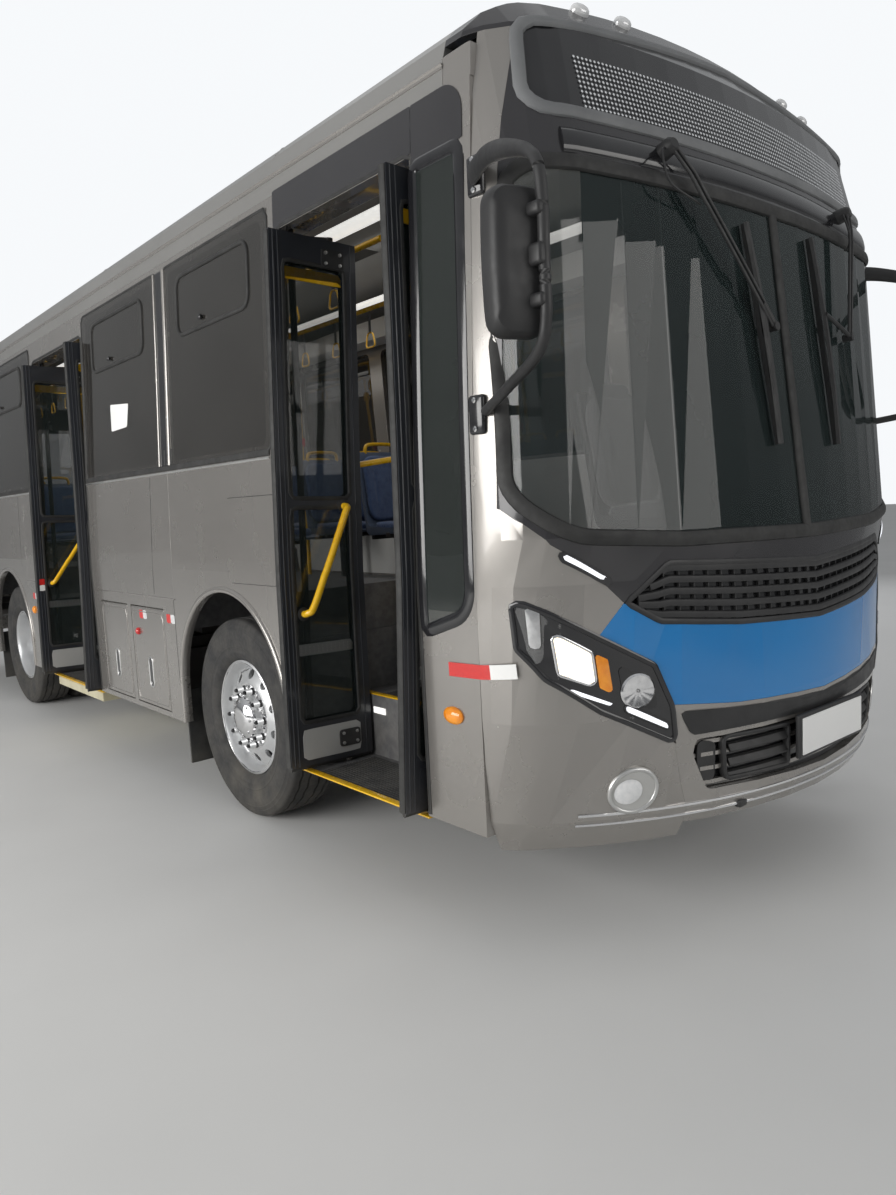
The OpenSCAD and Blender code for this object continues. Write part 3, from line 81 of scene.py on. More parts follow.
# Soft lamps: place, point aimed at, width, height, watts and colour
lamps = dict(
    doorSide=((-9.0, -1.0, 2.9), (0.0, 0.5, 1.2), 9.0, 3.6, 620.0, (1.0, 0.99, 0.97)),
    frontFill=((1.5, -11.0, 3.6), (0.0, -3.0, 1.3), 6.0, 3.5, 150.0, (1.0, 0.98, 0.95)),
    overhead=((0.0, 0.0, 9.0), (0.0, 0.0, 0.0), 6.0, 10.0, 60.0, (1.0, 1.0, 1.0)),
    farSide=((9.0, 3.0, 5.0), (0.0, 0.0, 1.5), 6.0, 4.0, 200.0, (0.97, 0.98, 1.0)),
    cabinGlow=((0.0, 0.0, 2.70), (0.0, 0.0, 1.0), 1.4, 6.5, 16.0, (1.0, 0.99, 0.97)))
for lampName, (place, aim, wide, high, watts, colour) in lamps.items():
    light = bpy.data.lights.new(lampName, "AREA")
    light.shape, light.size, light.size_y, light.energy, light.color = "RECTANGLE", wide, high, watts, colour
    lamp = bpy.data.objects.new(lampName, light)
    lamp.location = place
    lamp.rotation_euler = (Vector(aim) - Vector(place)).to_track_quat("-Z", "Y").to_euler()
    bpy.context.collection.objects.link(lamp)


world = bpy.data.worlds.new("paleRoom")
world.use_nodes = True
bpy.context.scene.world = world
worldNodes, worldLinks = world.node_tree.nodes, world.node_tree.links
worldBack = worldNodes["Background"]
worldBack.inputs["Color"].default_value = (0.93, 0.95, 0.97, 1.0)


def mathNode(kind, a, b):
    # One sum, product or choice of two values, each a number or another node's output
    n = worldNodes.new("ShaderNodeMath")
    n.operation = kind
    for k, v in enumerate((a, b)):
        if isinstance(v, float):
            n.inputs[k].default_value = v
        else:
            worldLinks.new(v, n.inputs[k])
    return n.outputs[0]


# Camera rays see white. Mirror rays see a room that is dark at the horizon and pale overhead, other rays a dim even one
rayPath = worldNodes.new("ShaderNodeLightPath").outputs
skyward = worldNodes.new("ShaderNodeSeparateXYZ")
worldLinks.new(worldNodes.new("ShaderNodeTexCoord").outputs["Generated"], skyward.inputs[0])
roomRise = worldNodes.new("ShaderNodeMapRange")
for key, v in (("From Min", 0.0), ("From Max", 0.55), ("To Min", 0.14), ("To Max", 0.42)):
    roomRise.inputs[key].default_value = v
worldLinks.new(skyward.outputs["Z"], roomRise.inputs["Value"])
mirrorRays = mathNode("MULTIPLY", rayPath["Is Glossy Ray"], roomRise.outputs["Result"])
dimRoom = mathNode("MULTIPLY", mathNode("SUBTRACT", 1.0, rayPath["Is Glossy Ray"]), 0.30)
seen = mathNode("MAXIMUM", rayPath["Is Camera Ray"], rayPath["Is Transmission Ray"])
worldLinks.new(mathNode("MAXIMUM", seen, mathNode("ADD", mirrorRays, dimRoom)), worldBack.inputs["Strength"])
print("camera, lamps and room set")
# Finishes. Columns: base colour, second tone, roughness low and high, metallic, coat, size of the tone noise,
# size of the bump noise, bump depth in metres, dust colour or None and the height where the dust ends
finishes = dict(
    silverPaint=((0.325, 0.308, 0.288), (0.35, 0.333, 0.313), 0.25, 0.28, 0.62, 0.7, 1.3, 900.0, 0.00001, (0.3, 0.28, 0.25), 0.75),
    # The roof's finish is the sides' silver made darker: painted shade for a roof that lies out of the light
    roofPaint=((0.25, 0.245, 0.235), (0.275, 0.27, 0.26), 0.34, 0.38, 0.3, 0.3, 1.1, 300.0, 0.00004, None, 0.0),
    charcoalPaint=((0.034, 0.033, 0.036), (0.042, 0.041, 0.044), 0.24, 0.27, 0.2, 0.5, 1.7, 900.0, 0.00002, None, 0.0),
    bluePaint=((0.0, 0.19, 0.52), (0.002, 0.21, 0.56), 0.2, 0.23, 0.0, 0.6, 1.5, 700.0, 0.00002, None, 0.0),
    doorBlack=((0.022, 0.024, 0.03), (0.03, 0.033, 0.04), 0.3, 0.42, 0.0, 0.25, 3.0, 500.0, 0.00003, (0.2, 0.18, 0.16), 0.65),
    trimBlack=((0.02, 0.02, 0.021), (0.032, 0.032, 0.033), 0.42, 0.58, 0.0, 0.0, 5.0, 1400.0, 0.00008, (0.16, 0.15, 0.13), 0.7),
    glossBlack=((0.012, 0.012, 0.014), (0.02, 0.02, 0.022), 0.10, 0.2, 0.0, 0.5, 4.0, 500.0, 0.00002, None, 0.0),
    rubber=((0.018, 0.018, 0.018), (0.034, 0.034, 0.033), 0.55, 0.72, 0.0, 0.0, 9.0, 700.0, 0.00012, (0.15, 0.14, 0.12), 0.6),
    greyRubber=((0.16, 0.165, 0.17), (0.2, 0.205, 0.21), 0.5, 0.64, 0.0, 0.0, 7.0, 600.0, 0.0001, None, 0.0),
    tyreRubber=((0.026, 0.026, 0.027), (0.05, 0.048, 0.045), 0.68, 0.86, 0.0, 0.0, 11.0, 380.0, 0.0003, (0.15, 0.135, 0.11), 0.5),
    chassisBlack=((0.03, 0.03, 0.032), (0.055, 0.05, 0.046), 0.45, 0.7, 0.1, 0.0, 4.0, 130.0, 0.0003, (0.17, 0.14, 0.11), 1.1),
    castIron=((0.11, 0.11, 0.11), (0.17, 0.16, 0.15), 0.5, 0.7, 0.5, 0.0, 7.0, 160.0, 0.0005, (0.17, 0.14, 0.11), 1.2),
    rimSilver=((0.55, 0.56, 0.57), (0.64, 0.645, 0.65), 0.28, 0.42, 0.6, 0.2, 5.0, 500.0, 0.00004, (0.3, 0.27, 0.23), 0.35),
    chrome=((0.82, 0.82, 0.83), (0.88, 0.88, 0.885), 0.06, 0.16, 1.0, 0.0, 9.0, 400.0, 0.00002, None, 0.0),
    aluminium=((0.58, 0.58, 0.57), (0.66, 0.66, 0.65), 0.26, 0.42, 0.9, 0.0, 3.0, 260.0, 0.00005, None, 0.0),
    yellowPaint=((0.86, 0.48, 0.01), (0.93, 0.55, 0.015), 0.22, 0.34, 0.0, 0.4, 4.0, 500.0, 0.00004, None, 0.0),
    innerGrey=((0.42, 0.42, 0.41), (0.47, 0.47, 0.455), 0.5, 0.62, 0.0, 0.0, 3.0, 900.0, 0.0001, None, 0.0),
    whitePanel=((0.74, 0.74, 0.73), (0.8, 0.8, 0.78), 0.4, 0.52, 0.0, 0.0, 2.0, 700.0, 0.00006, None, 0.0),
    floorGrey=((0.10, 0.10, 0.105), (0.15, 0.15, 0.15), 0.5, 0.7, 0.0, 0.0, 30.0, 1200.0, 0.0003, (0.25, 0.23, 0.2), 1.3),
    stepCream=((0.52, 0.48, 0.33), (0.6, 0.56, 0.4), 0.45, 0.6, 0.0, 0.0, 6.0, 300.0, 0.0002, (0.25, 0.22, 0.18), 0.5),
    whitePaper=((0.86, 0.86, 0.85), (0.9, 0.9, 0.88), 0.5, 0.6, 0.0, 0.0, 2.0, 500.0, 0.00003, None, 0.0),
    redBand=((0.62, 0.02, 0.02), (0.7, 0.03, 0.025), 0.25, 0.35, 0.0, 0.5, 90.0, 700.0, 0.0001, None, 0.0),
    lampRed=((0.55, 0.01, 0.01), (0.68, 0.02, 0.015), 0.12, 0.2, 0.0, 0.8, 40.0, 300.0, 0.0002, None, 0.0),
    lampAmber=((0.9, 0.27, 0.01), (1.0, 0.36, 0.02), 0.12, 0.2, 0.0, 0.8, 40.0, 300.0, 0.0002, None, 0.0),
    lampClear=((0.78, 0.79, 0.8), (0.9, 0.9, 0.9), 0.08, 0.18, 0.2, 0.8, 60.0, 260.0, 0.0003, None, 0.0),
    reflector=((0.72, 0.72, 0.73), (0.86, 0.86, 0.87), 0.05, 0.15, 1.0, 0.2, 50.0, 200.0, 0.0003, None, 0.0),
    seatShell=((0.10, 0.13, 0.2), (0.13, 0.17, 0.25), 0.4, 0.5, 0.0, 0.1, 4.0, 900.0, 0.0001, None, 0.0),
    tankAlu=((0.5, 0.5, 0.5), (0.58, 0.58, 0.575), 0.35, 0.5, 0.8, 0.0, 3.0, 240.0, 0.0001, (0.2, 0.17, 0.14), 0.8))


def makeFinish(name, base, tone, roughLow, roughHigh, metallic, coat, toneSize, bumpSize, bumpDepth, dust, dustTop):
    # tone = noise between two colours; dust = second noise times (1 - height / dustTop); bump = fine noise
    mat = bpy.data.materials.new(name)
    mat.use_nodes = True
    nodes, links = mat.node_tree.nodes, mat.node_tree.links
    shader = nodes["Principled BSDF"]
    shader.inputs["Metallic"].default_value = metallic
    shader.inputs["Coat Weight"].default_value = coat
    shader.inputs["Coat Roughness"].default_value = 0.06
    place = nodes.new("ShaderNodeTexCoord").outputs["Object"]

    def noise(size, detail):
        n = nodes.new("ShaderNodeTexNoise")
        n.inputs["Scale"].default_value = size
        n.inputs["Detail"].default_value = detail
        links.new(place, n.inputs["Vector"])
        return n.outputs["Fac"]

    def spread(value, lowIn, highIn, lowOut, highOut):
        m = nodes.new("ShaderNodeMapRange")
        for key, v in (("From Min", lowIn), ("From Max", highIn), ("To Min", lowOut), ("To Max", highOut)):
            m.inputs[key].default_value = v
        links.new(value, m.inputs["Value"])
        return m.outputs["Result"]

    def blend(fac, a, b):
        m = nodes.new("ShaderNodeMix")
        m.data_type = "RGBA"
        links.new(fac, m.inputs["Factor"])
        for key, v in ((6, a), (7, b)):
            if isinstance(v, tuple):
                m.inputs[key].default_value = (*v, 1.0)
            else:
                links.new(v, m.inputs[key])
        return m.outputs[2]

    coarse = noise(toneSize, 4.0)
    colour = blend(spread(coarse, 0.35, 0.65, 0.0, 1.0), base, tone)
    rough = spread(noise(toneSize * 5.0, 5.0), 0.3, 0.7, roughLow, roughHigh)
    if dust:
        split = nodes.new("ShaderNodeSeparateXYZ")
        links.new(place, split.inputs[0])
        low = spread(split.outputs["Z"], 0.15, dustTop, 1.0, 0.0)
        patch = nodes.new("ShaderNodeMath")
        patch.operation = "MULTIPLY"
        links.new(low, patch.inputs[0])
        links.new(spread(noise(7.0, 6.0), 0.38, 0.72, 0.02, 0.4), patch.inputs[1])
        colour = blend(patch.outputs[0], colour, dust)
        rougher = nodes.new("ShaderNodeMath")
        rougher.operation = "MULTIPLY_ADD"
        links.new(patch.outputs[0], rougher.inputs[0])
        rougher.inputs[1].default_value = 0.2
        links.new(rough, rougher.inputs[2])
        rough = rougher.outputs[0]
    links.new(colour, shader.inputs["Base Color"])
    links.new(rough, shader.inputs["Roughness"])
    bump = nodes.new("ShaderNodeBump")
    bump.inputs["Strength"].default_value = 0.6
    bump.inputs["Distance"].default_value = bumpDepth
    links.new(noise(bumpSize, 2.0), bump.inputs["Height"])
    links.new(bump.outputs["Normal"], shader.inputs["Normal"])
    return mat


mats = {name: makeFinish(name, *row) for name, row in finishes.items()}

# Panes: colour, alpha, and how wavy the pane is. Alpha lets the room's light through to the cabin
panes = dict(windscreenGlass=((0.02, 0.03, 0.03), 0.30, 0.00004), tintedGlass=((0.03, 0.028, 0.025), 0.62, 0.00006),
             doorGlass=((0.03, 0.04, 0.038), 0.36, 0.00004), signGlass=((0.01, 0.01, 0.012), 0.38, 0.00002),
             lensGlass=((0.5, 0.5, 0.5), 0.16, 0.0001), hopperGlass=((0.03, 0.03, 0.028), 0.5, 0.00003))


def makePane(name, colour, alpha, wave):
    # A dark clear film whose alpha grows towards grazing angles, as a pane's reflection does
    mat = bpy.data.materials.new(name)
    mat.use_nodes = True
    nodes, links = mat.node_tree.nodes, mat.node_tree.links
    shader = nodes["Principled BSDF"]
    shader.inputs["Coat Weight"].default_value = 1.0
    shader.inputs["Coat Roughness"].default_value = 0.01
    shader.inputs["IOR"].default_value = 1.5
    place = nodes.new("ShaderNodeTexCoord").outputs["Object"]
    dirt = nodes.new("ShaderNodeTexNoise")
    dirt.inputs["Scale"].default_value = 2.2
    dirt.inputs["Detail"].default_value = 6.0
    links.new(place, dirt.inputs["Vector"])
    tone = nodes.new("ShaderNodeMix")
    tone.data_type = "RGBA"
    tone.inputs[6].default_value = (*colour, 1.0)
    tone.inputs[7].default_value = (*[c * 1.6 + 0.01 for c in colour], 1.0)
    links.new(dirt.outputs["Fac"], tone.inputs["Factor"])
    links.new(tone.outputs[2], shader.inputs["Base Color"])
    rough = nodes.new("ShaderNodeMapRange")
    rough.inputs["To Min"].default_value = 0.006
    rough.inputs["To Max"].default_value = 0.02
    links.new(dirt.outputs["Fac"], rough.inputs["Value"])
    links.new(rough.outputs["Result"], shader.inputs["Roughness"])
    edge = nodes.new("ShaderNodeLayerWeight")
    edge.inputs["Blend"].default_value = 0.35
    see = nodes.new("ShaderNodeMapRange")
    see.inputs["To Min"].default_value = alpha
    see.inputs["To Max"].default_value = 1.0
    links.new(edge.outputs["Fresnel"], see.inputs["Value"])
    links.new(see.outputs["Result"], shader.inputs["Alpha"])
    ripple = nodes.new("ShaderNodeTexNoise")
    ripple.inputs["Scale"].default_value = 1.7
    links.new(place, ripple.inputs["Vector"])
    bump = nodes.new("ShaderNodeBump")
    bump.inputs["Distance"].default_value = wave * 5.0
    bump.inputs["Strength"].default_value = 0.3
    links.new(ripple.outputs["Fac"], bump.inputs["Height"])
    links.new(bump.outputs["Normal"], shader.inputs["Normal"])
    return mat


for name, row in panes.items():
    mats[name] = makePane(name, *row)

# Lit surfaces: colour and strength, with a fine pattern of cells in the glow
glows = dict(headGlow=((1.0, 0.86, 0.62), 2.2), ledGlow=((0.93, 0.95, 1.0), 0.75), signDots=((0.66, 0.68, 0.7), 0.12),
             cabinLamp=((1.0, 0.99, 0.95), 0.8))


def makeGlow(name, colour, strength):
    # emission = strength times (0.8 to 1.1 by noise)
    mat = makeFinish(name, colour, tuple(c * 0.92 for c in colour), 0.2, 0.3, 0.0, 0.3, 30.0, 200.0, 0.0001, None, 0.0)
    nodes, links = mat.node_tree.nodes, mat.node_tree.links
    shader = nodes["Principled BSDF"]
    shader.inputs["Emission Color"].default_value = (*colour, 1.0)
    cells = nodes.new("ShaderNodeTexNoise")
    cells.inputs["Scale"].default_value = 35.0
    links.new(nodes.new("ShaderNodeTexCoord").outputs["Object"], cells.inputs["Vector"])
    span = nodes.new("ShaderNodeMapRange")
    span.inputs["To Min"].default_value = strength * 0.8
    span.inputs["To Max"].default_value = strength * 1.1
    links.new(cells.outputs["Fac"], span.inputs["Value"])
    links.new(span.outputs["Result"], shader.inputs["Emission Strength"])
    return mat


for name, row in glows.items():
    mats[name] = makeGlow(name, *row)


def makeCloth(name, yarnA, yarnB, weave):
    # Woven cloth: two wave textures across each other set the tone and the bump, and sheen lightens the edge
    mat = bpy.data.materials.new(name)
    mat.use_nodes = True
    nodes, links = mat.node_tree.nodes, mat.node_tree.links
    shader = nodes["Principled BSDF"]
    shader.inputs["Sheen Weight"].default_value = 0.35
    shader.inputs["Sheen Roughness"].default_value = 0.5
    place = nodes.new("ShaderNodeTexCoord").outputs["Object"]
    sums = nodes.new("ShaderNodeMath")
    sums.operation = "MULTIPLY"
    for i, axis in enumerate(("X", "Z")):
        wave = nodes.new("ShaderNodeTexWave")
        wave.bands_direction = axis
        wave.inputs["Scale"].default_value = weave
        wave.inputs["Distortion"].default_value = 0.6
        links.new(place, wave.inputs["Vector"])
        links.new(wave.outputs["Fac"], sums.inputs[i])
    patch = nodes.new("ShaderNodeTexVoronoi")
    patch.inputs["Scale"].default_value = 26.0
    links.new(place, patch.inputs["Vector"])
    both = nodes.new("ShaderNodeMath")
    both.operation = "MULTIPLY_ADD"
    links.new(patch.outputs["Distance"], both.inputs[0])
    both.inputs[1].default_value = 0.9
    links.new(sums.outputs[0], both.inputs[2])
    mix = nodes.new("ShaderNodeMix")
    mix.data_type = "RGBA"
    mix.inputs[6].default_value = (*yarnA, 1.0)
    mix.inputs[7].default_value = (*yarnB, 1.0)
    links.new(both.outputs[0], mix.inputs["Factor"])
    links.new(mix.outputs[2], shader.inputs["Base Color"])
    rough = nodes.new("ShaderNodeMapRange")
    rough.inputs["To Min"].default_value = 0.75
    rough.inputs["To Max"].default_value = 0.95
    links.new(sums.outputs[0], rough.inputs["Value"])
    links.new(rough.outputs["Result"], shader.inputs["Roughness"])
    bump = nodes.new("ShaderNodeBump")
    bump.inputs["Distance"].default_value = 0.0008
    links.new(sums.outputs[0], bump.inputs["Height"])
    links.new(bump.outputs["Normal"], shader.inputs["Normal"])
    return mat


mats["seatCloth"] = makeCloth("seatCloth", (0.03, 0.06, 0.16), (0.08, 0.14, 0.3), 260.0)
mats["driverCloth"] = makeCloth("driverCloth", (0.02, 0.02, 0.022), (0.06, 0.06, 0.065), 300.0)
print("finishes made:", len(mats))


def addPiece(name, points, faces, mat, bodyName="body", smooth=True, angle=0.6):
    # Puts an array of points and its faces in a mesh, smooth up to an angle, and rides it on its body
    mesh = bpy.data.meshes.new(name)
    mesh.from_pydata(np.asarray(points, dtype=float).reshape(-1, 3).tolist(), [], [list(map(int, f)) for f in faces])
    obj = bpy.data.objects.new(name, mesh)
    bpy.context.collection.objects.link(obj)
    bm = bmesh.new()
    bm.from_mesh(mesh)
    bmesh.ops.remove_doubles(bm, verts=bm.verts, dist=1e-6)
    bmesh.ops.recalc_face_normals(bm, faces=bm.faces)
    bm.to_mesh(mesh)
    bm.free()
    if smooth:
        mesh.polygons.foreach_set("use_smooth", np.ones(len(mesh.polygons), dtype=bool))
        mesh.set_sharp_from_angle(angle=angle)
    mesh.materials.append(mats[mat])
    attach(obj, bodyName)
    return obj


def gridFaces(m, n, wrapU=False, wrapV=False, start=0):
    # Quads of a grid of m rows and n columns; a wrapped side joins its last line to its first
    i = np.arange(m if wrapU else m - 1)[:, None]
    j = np.arange(n if wrapV else n - 1)[None, :]
    a, b = i * n + j, i * n + (j + 1) % n
    c, d = ((i + 1) % m) * n + (j + 1) % n, ((i + 1) % m) * n + j
    return (np.stack([a, b, c, d], axis=-1).reshape(-1, 4) + start).tolist()


def merged(parts):
    # Joins (points, faces) pairs into one pair, with the faces counted on
    points, faces, count = [], [], 0
    for p, f in parts:
        p = np.asarray(p, dtype=float).reshape(-1, 3)
        points.append(p)
        faces += [[k + count for k in face] for face in f]
        count += len(p)
    return np.concatenate(points), faces


def unit(v):
    return v / np.maximum(np.linalg.norm(v, axis=-1, keepdims=True), 1e-12)


def tubeParts(path, radius, sides=10, closed=False, up=(0.0, 0.0, 1.0)):
    # Circle of that radius carried along the path: point + r (cos a side + sin a over), flat ends closed
    path = np.asarray(path, dtype=float)
    ahead = np.roll(path, -1, 0) - np.roll(path, 1, 0) if closed else np.gradient(path, axis=0)
    ahead = unit(ahead)
    ref = np.broadcast_to(np.asarray(up, dtype=float), path.shape)
    side = np.cross(ahead, ref)
    weak = np.linalg.norm(side, axis=1, keepdims=True) < 0.15
    side = unit(np.where(weak, np.cross(ahead, np.broadcast_to([1.0, 0.3, 0.0], path.shape)), side))
    over = np.cross(side, ahead)
    turn = np.linspace(0, 2 * np.pi, sides, endpoint=False)
    r = np.broadcast_to(np.asarray(radius, dtype=float), (len(path),))[:, None, None]
    ring = path[:, None] + r * (np.cos(turn)[None, :, None] * side[:, None] + np.sin(turn)[None, :, None] * over[:, None])
    faces = gridFaces(len(path), sides, wrapU=closed, wrapV=True)
    if not closed:
        last = (len(path) - 1) * sides
        faces += [list(range(sides))[::-1], [last + k for k in range(sides)]]
    return ring, faces


def smoothPath(points, count):
    # Passes a Catmull-Rom curve through the points: each stretch is a cubic of its four nearest points
    p = np.asarray(points, dtype=float)
    p = np.vstack([2 * p[0] - p[1], p, 2 * p[-1] - p[-2]])
    t = np.linspace(0, len(p) - 3 - 1e-9, count)
    k = t.astype(int)
    u = (t - k)[:, None]
    a, b, c, d = p[k], p[k + 1], p[k + 2], p[k + 3]
    return 0.5 * (2 * b + (c - a) * u + (2 * a - 5 * b + 4 * c - d) * u ** 2 + (3 * b - a - 3 * c + d) * u ** 3)


def latheParts(profile, sides=48, closeProfile=False):
    # Profile of (radius, height) turned about the z axis
    p = np.asarray(profile, dtype=float)
    turn = np.linspace(0, 2 * np.pi, sides, endpoint=False)
    ring = np.stack([p[:, :1] * np.cos(turn), p[:, :1] * np.sin(turn), np.repeat(p[:, 1:], sides, 1)], axis=-1)
    return ring, gridFaces(len(p), sides, wrapU=closeProfile, wrapV=True)


def bandParts(path, normals, section, closed=False):
    # Section of (across, out) carried along a path that lies on a surface: point + across side + out normal
    path, normals = np.asarray(path, dtype=float), unit(np.asarray(normals, dtype=float))
    ahead = np.roll(path, -1, 0) - np.roll(path, 1, 0) if closed else np.gradient(path, axis=0)
    side = unit(np.cross(unit(ahead), normals))
    s = np.asarray(section, dtype=float)
    pts = path[:, None] + s[None, :, :1] * side[:, None] + s[None, :, 1:] * normals[:, None]
    faces = gridFaces(len(path), len(s), wrapU=closed, wrapV=True)
    if not closed:
        last = (len(path) - 1) * len(s)
        faces += [list(range(len(s)))[::-1], [last + k for k in range(len(s))]]
    return pts, faces


def domeSection(wide, high, deep=0.004, steps=5):
    # Half ellipse of that width and height over a flat foot that is sunk by deep
    a = np.linspace(0, np.pi, steps + 2)
    return np.vstack([np.stack([wide / 2 * np.cos(a), high * np.sin(a)], 1), [[-wide / 2, -deep], [wide / 2, -deep]]])


def boxParts(centre, size, radius=0.01, steps=3, turn=None):
    # Round-edged box: each point of a sphere grid is pushed out to the corner of its octant
    half = np.asarray(size, dtype=float) / 2
    r = min(radius, half.min() * 0.98)
    a = np.concatenate([np.linspace(q, q + np.pi / 2, steps + 1) for q in np.arange(4) * np.pi / 2])
    sx = np.repeat([1, -1, -1, 1], steps + 1)
    sy = np.repeat([1, 1, -1, -1], steps + 1)
    b = np.concatenate([np.linspace(-np.pi / 2, 0, steps + 1), np.linspace(0, np.pi / 2, steps + 1)])
    sz = np.repeat([-1, 1], steps + 1)
    x = sx[None] * (half[0] - r) + r * np.cos(b)[:, None] * np.cos(a)[None]
    y = sy[None] * (half[1] - r) + r * np.cos(b)[:, None] * np.sin(a)[None]
    z = (sz * (half[2] - r) + r * np.sin(b))[:, None] + 0 * x
    pts = np.stack([x, y, z], -1)
    n = len(a)
    faces = gridFaces(len(b), n, wrapV=True)
    corners = [k * (steps + 1) for k in range(4)]
    faces += [corners[::-1], [(len(b) - 1) * n + k for k in corners]]
    if turn is not None:
        pts = pts @ np.asarray(turn, dtype=float).T
    return pts + np.asarray(centre, dtype=float), faces


def turnAbout(axis, degrees):
    return np.array(Matrix.Rotation(math.radians(degrees), 3, axis))


def roundedOutline(corners, steps=8):
    # Closed outline of (u, v, radius) corners: each corner becomes an arc that is tangent to both sides
    c = [np.asarray(p[:2], dtype=float) for p in corners]
    out = []
    for i, p in enumerate(corners):
        b, a, d = c[i], c[i - 1], c[(i + 1) % len(c)]
        if p[2] <= 0:
            out.append(b[None])
            continue
        u, v = unit(a - b), unit(d - b)
        half = np.arccos(np.clip(u @ v, -1, 1)) / 2
        m = b + unit(u + v) * p[2] / np.sin(half)
        s, e = b + u * p[2] / np.tan(half) - m, b + v * p[2] / np.tan(half) - m
        a0 = np.arctan2(s[1], s[0])
        da = np.arctan2(s[0] * e[1] - s[1] * e[0], s @ e)
        t = a0 + da * np.linspace(0, 1, steps + 1)
        out.append(m + p[2] * np.stack([np.cos(t), np.sin(t)], 1))
    return np.concatenate(out)


def spaced(outline, step, closed=True):
    # Points at an even step along an outline
    p = np.vstack([outline, outline[:1]]) if closed else np.asarray(outline)
    run = np.concatenate([[0], np.cumsum(np.linalg.norm(np.diff(p, axis=0), axis=1))])
    count = max(8, int(round(run[-1] / step)))
    t = np.linspace(0, run[-1], count + 1)[:count] if closed else np.linspace(0, run[-1], count + 1)
    return np.stack([np.interp(t, run, p[:, k]) for k in range(p.shape[1])], 1)


def mirrored(half):
    # Right half outline in x and its mirror image, in order
    return list(half) + [(-p[0], *p[1:]) for p in reversed(half) if p[0] > 0]


# Front's plan at each height, as in the part's source: height, distance back, bow, corner radius, side's lean
frontLevels = np.array([[0.32, 0.06, 1.7, 0.33, 0.022], [0.45, 0.002, 1.8, 0.35, 0.002], [0.8, 0.0, 2.2, 0.35, 0.0],
                        [1.25, 0.03, 2.6, 0.33, 0.0], [1.4, 0.05, 3.2, 0.3, 0.006], [2.54, 0.18, 4.6, 0.28, 0.059],
                        [3.0, 0.3, 4.6, 0.3, 0.082], [3.26, 0.52, 4.6, 0.3, 0.095]])
sideLine = np.array([[0.34, 0.0], [1.25, 0.0], [1.8, 0.021], [2.4, 0.052], [2.8, 0.07], [2.94, 0.078]])


def frontY(x, z):
    # Bow circle in the middle and a corner circle at each end, worked out at every level and set between them
    x, z = np.broadcast_arrays(np.abs(np.asarray(x, dtype=float)), np.asarray(z, dtype=float))
    rows = []
    for _, back, rb, rc, lean in frontLevels:
        cx = body["sideX"] - lean + 0.002 - rc
        yc = body["noseY"] + back + rb
        cy = yc - math.sqrt((rb - rc) ** 2 - cx ** 2)
        bow = yc - np.sqrt(rb ** 2 - np.minimum(x, 1.3) ** 2)
        corner = cy - np.sqrt(np.maximum(rc ** 2 - (x - cx) ** 2, 0.0))
        rows.append(np.where(x <= rb * cx / (rb - rc), bow, corner))
    rows = np.stack(rows)
    k = np.clip(np.searchsorted(frontLevels[:, 0], z, side="right") - 1, 0, len(frontLevels) - 2)
    f = (z - frontLevels[k, 0]) / (frontLevels[k + 1, 0] - frontLevels[k, 0])
    low = np.take_along_axis(rows, k[None], 0)[0]
    high = np.take_along_axis(rows, k[None] + 1, 0)[0]
    return low + (high - low) * np.clip(f, 0, 1)


def onFront(x, z, out=0.0):
    # Point of the front's surface and its outward normal, by the slopes of frontY; out moves along the normal
    x, z = np.broadcast_arrays(np.asarray(x, dtype=float), np.asarray(z, dtype=float))
    h = 0.004
    fx = (frontY(x + h, z) - frontY(x - h, z)) / (2 * h)
    fz = (frontY(x, z + h) - frontY(x, z - h)) / (2 * h)
    n = unit(np.stack([fx, -np.ones_like(fx), fz], -1))
    return np.stack([x, frontY(x, z), z], -1) + n * np.asarray(out)[..., None], n


def onSide(y, z, out=0.0, side=-1):
    # Point of the side wall at a station and height: x is the half width less the lean at that height
    y, z = np.broadcast_arrays(np.asarray(y, dtype=float), np.asarray(z, dtype=float))
    x = body["sideX"] - np.interp(z, sideLine[:, 0], sideLine[:, 1])
    slope = (np.interp(z + 0.01, sideLine[:, 0], sideLine[:, 1]) - np.interp(z - 0.01, sideLine[:, 0], sideLine[:, 1])) / 0.02
    n = unit(np.stack([side * np.ones_like(x), 0 * x, slope], -1))
    return np.stack([side * x, y, z], -1) + n * np.asarray(out)[..., None], n


def outlineBand(name, outline, place, section, mat, closed=True, step=0.03, **kw):
    # Section carried along an outline that place() lays on the front or a side
    line = spaced(np.asarray(outline)[:, :2], step, closed)
    pts, normals = place(line[:, 0], line[:, 1])
    return addPiece(name, *bandParts(pts, normals, section, closed), mat, **kw)


def patchParts(outline, place, out, rings=4, crown=0.0, centre=None, depth=0.0, step=0.02):
    # Outline drawn in towards its centre in rings: u runs round, v inwards; crown lifts the middle by 1 - (1 - v)^2
    line = spaced(np.asarray(outline)[:, :2], step)
    mid = line.mean(0) if centre is None else np.asarray(centre, dtype=float)
    v = np.linspace(0, 1, rings + 1)[:, None, None]
    flat = line[None] * (1 - v) + mid * v
    lift = out + crown * (1 - (1 - v[..., 0]) ** 2)
    pts, _ = place(flat[..., 0], flat[..., 1], lift + 0 * flat[..., 0])
    parts = [(pts, gridFaces(rings + 1, len(line), wrapV=True))]
    if depth > 0:
        foot, _ = place(line[:, 0], line[:, 1], out - depth)
        parts.append((np.stack([foot, pts[0]]), gridFaces(2, len(line), wrapV=True)))
        inner, _ = place(flat[..., 0], flat[..., 1], out - depth)
        parts.append((inner[::-1], gridFaces(rings + 1, len(line), wrapV=True)))
    return merged(parts)


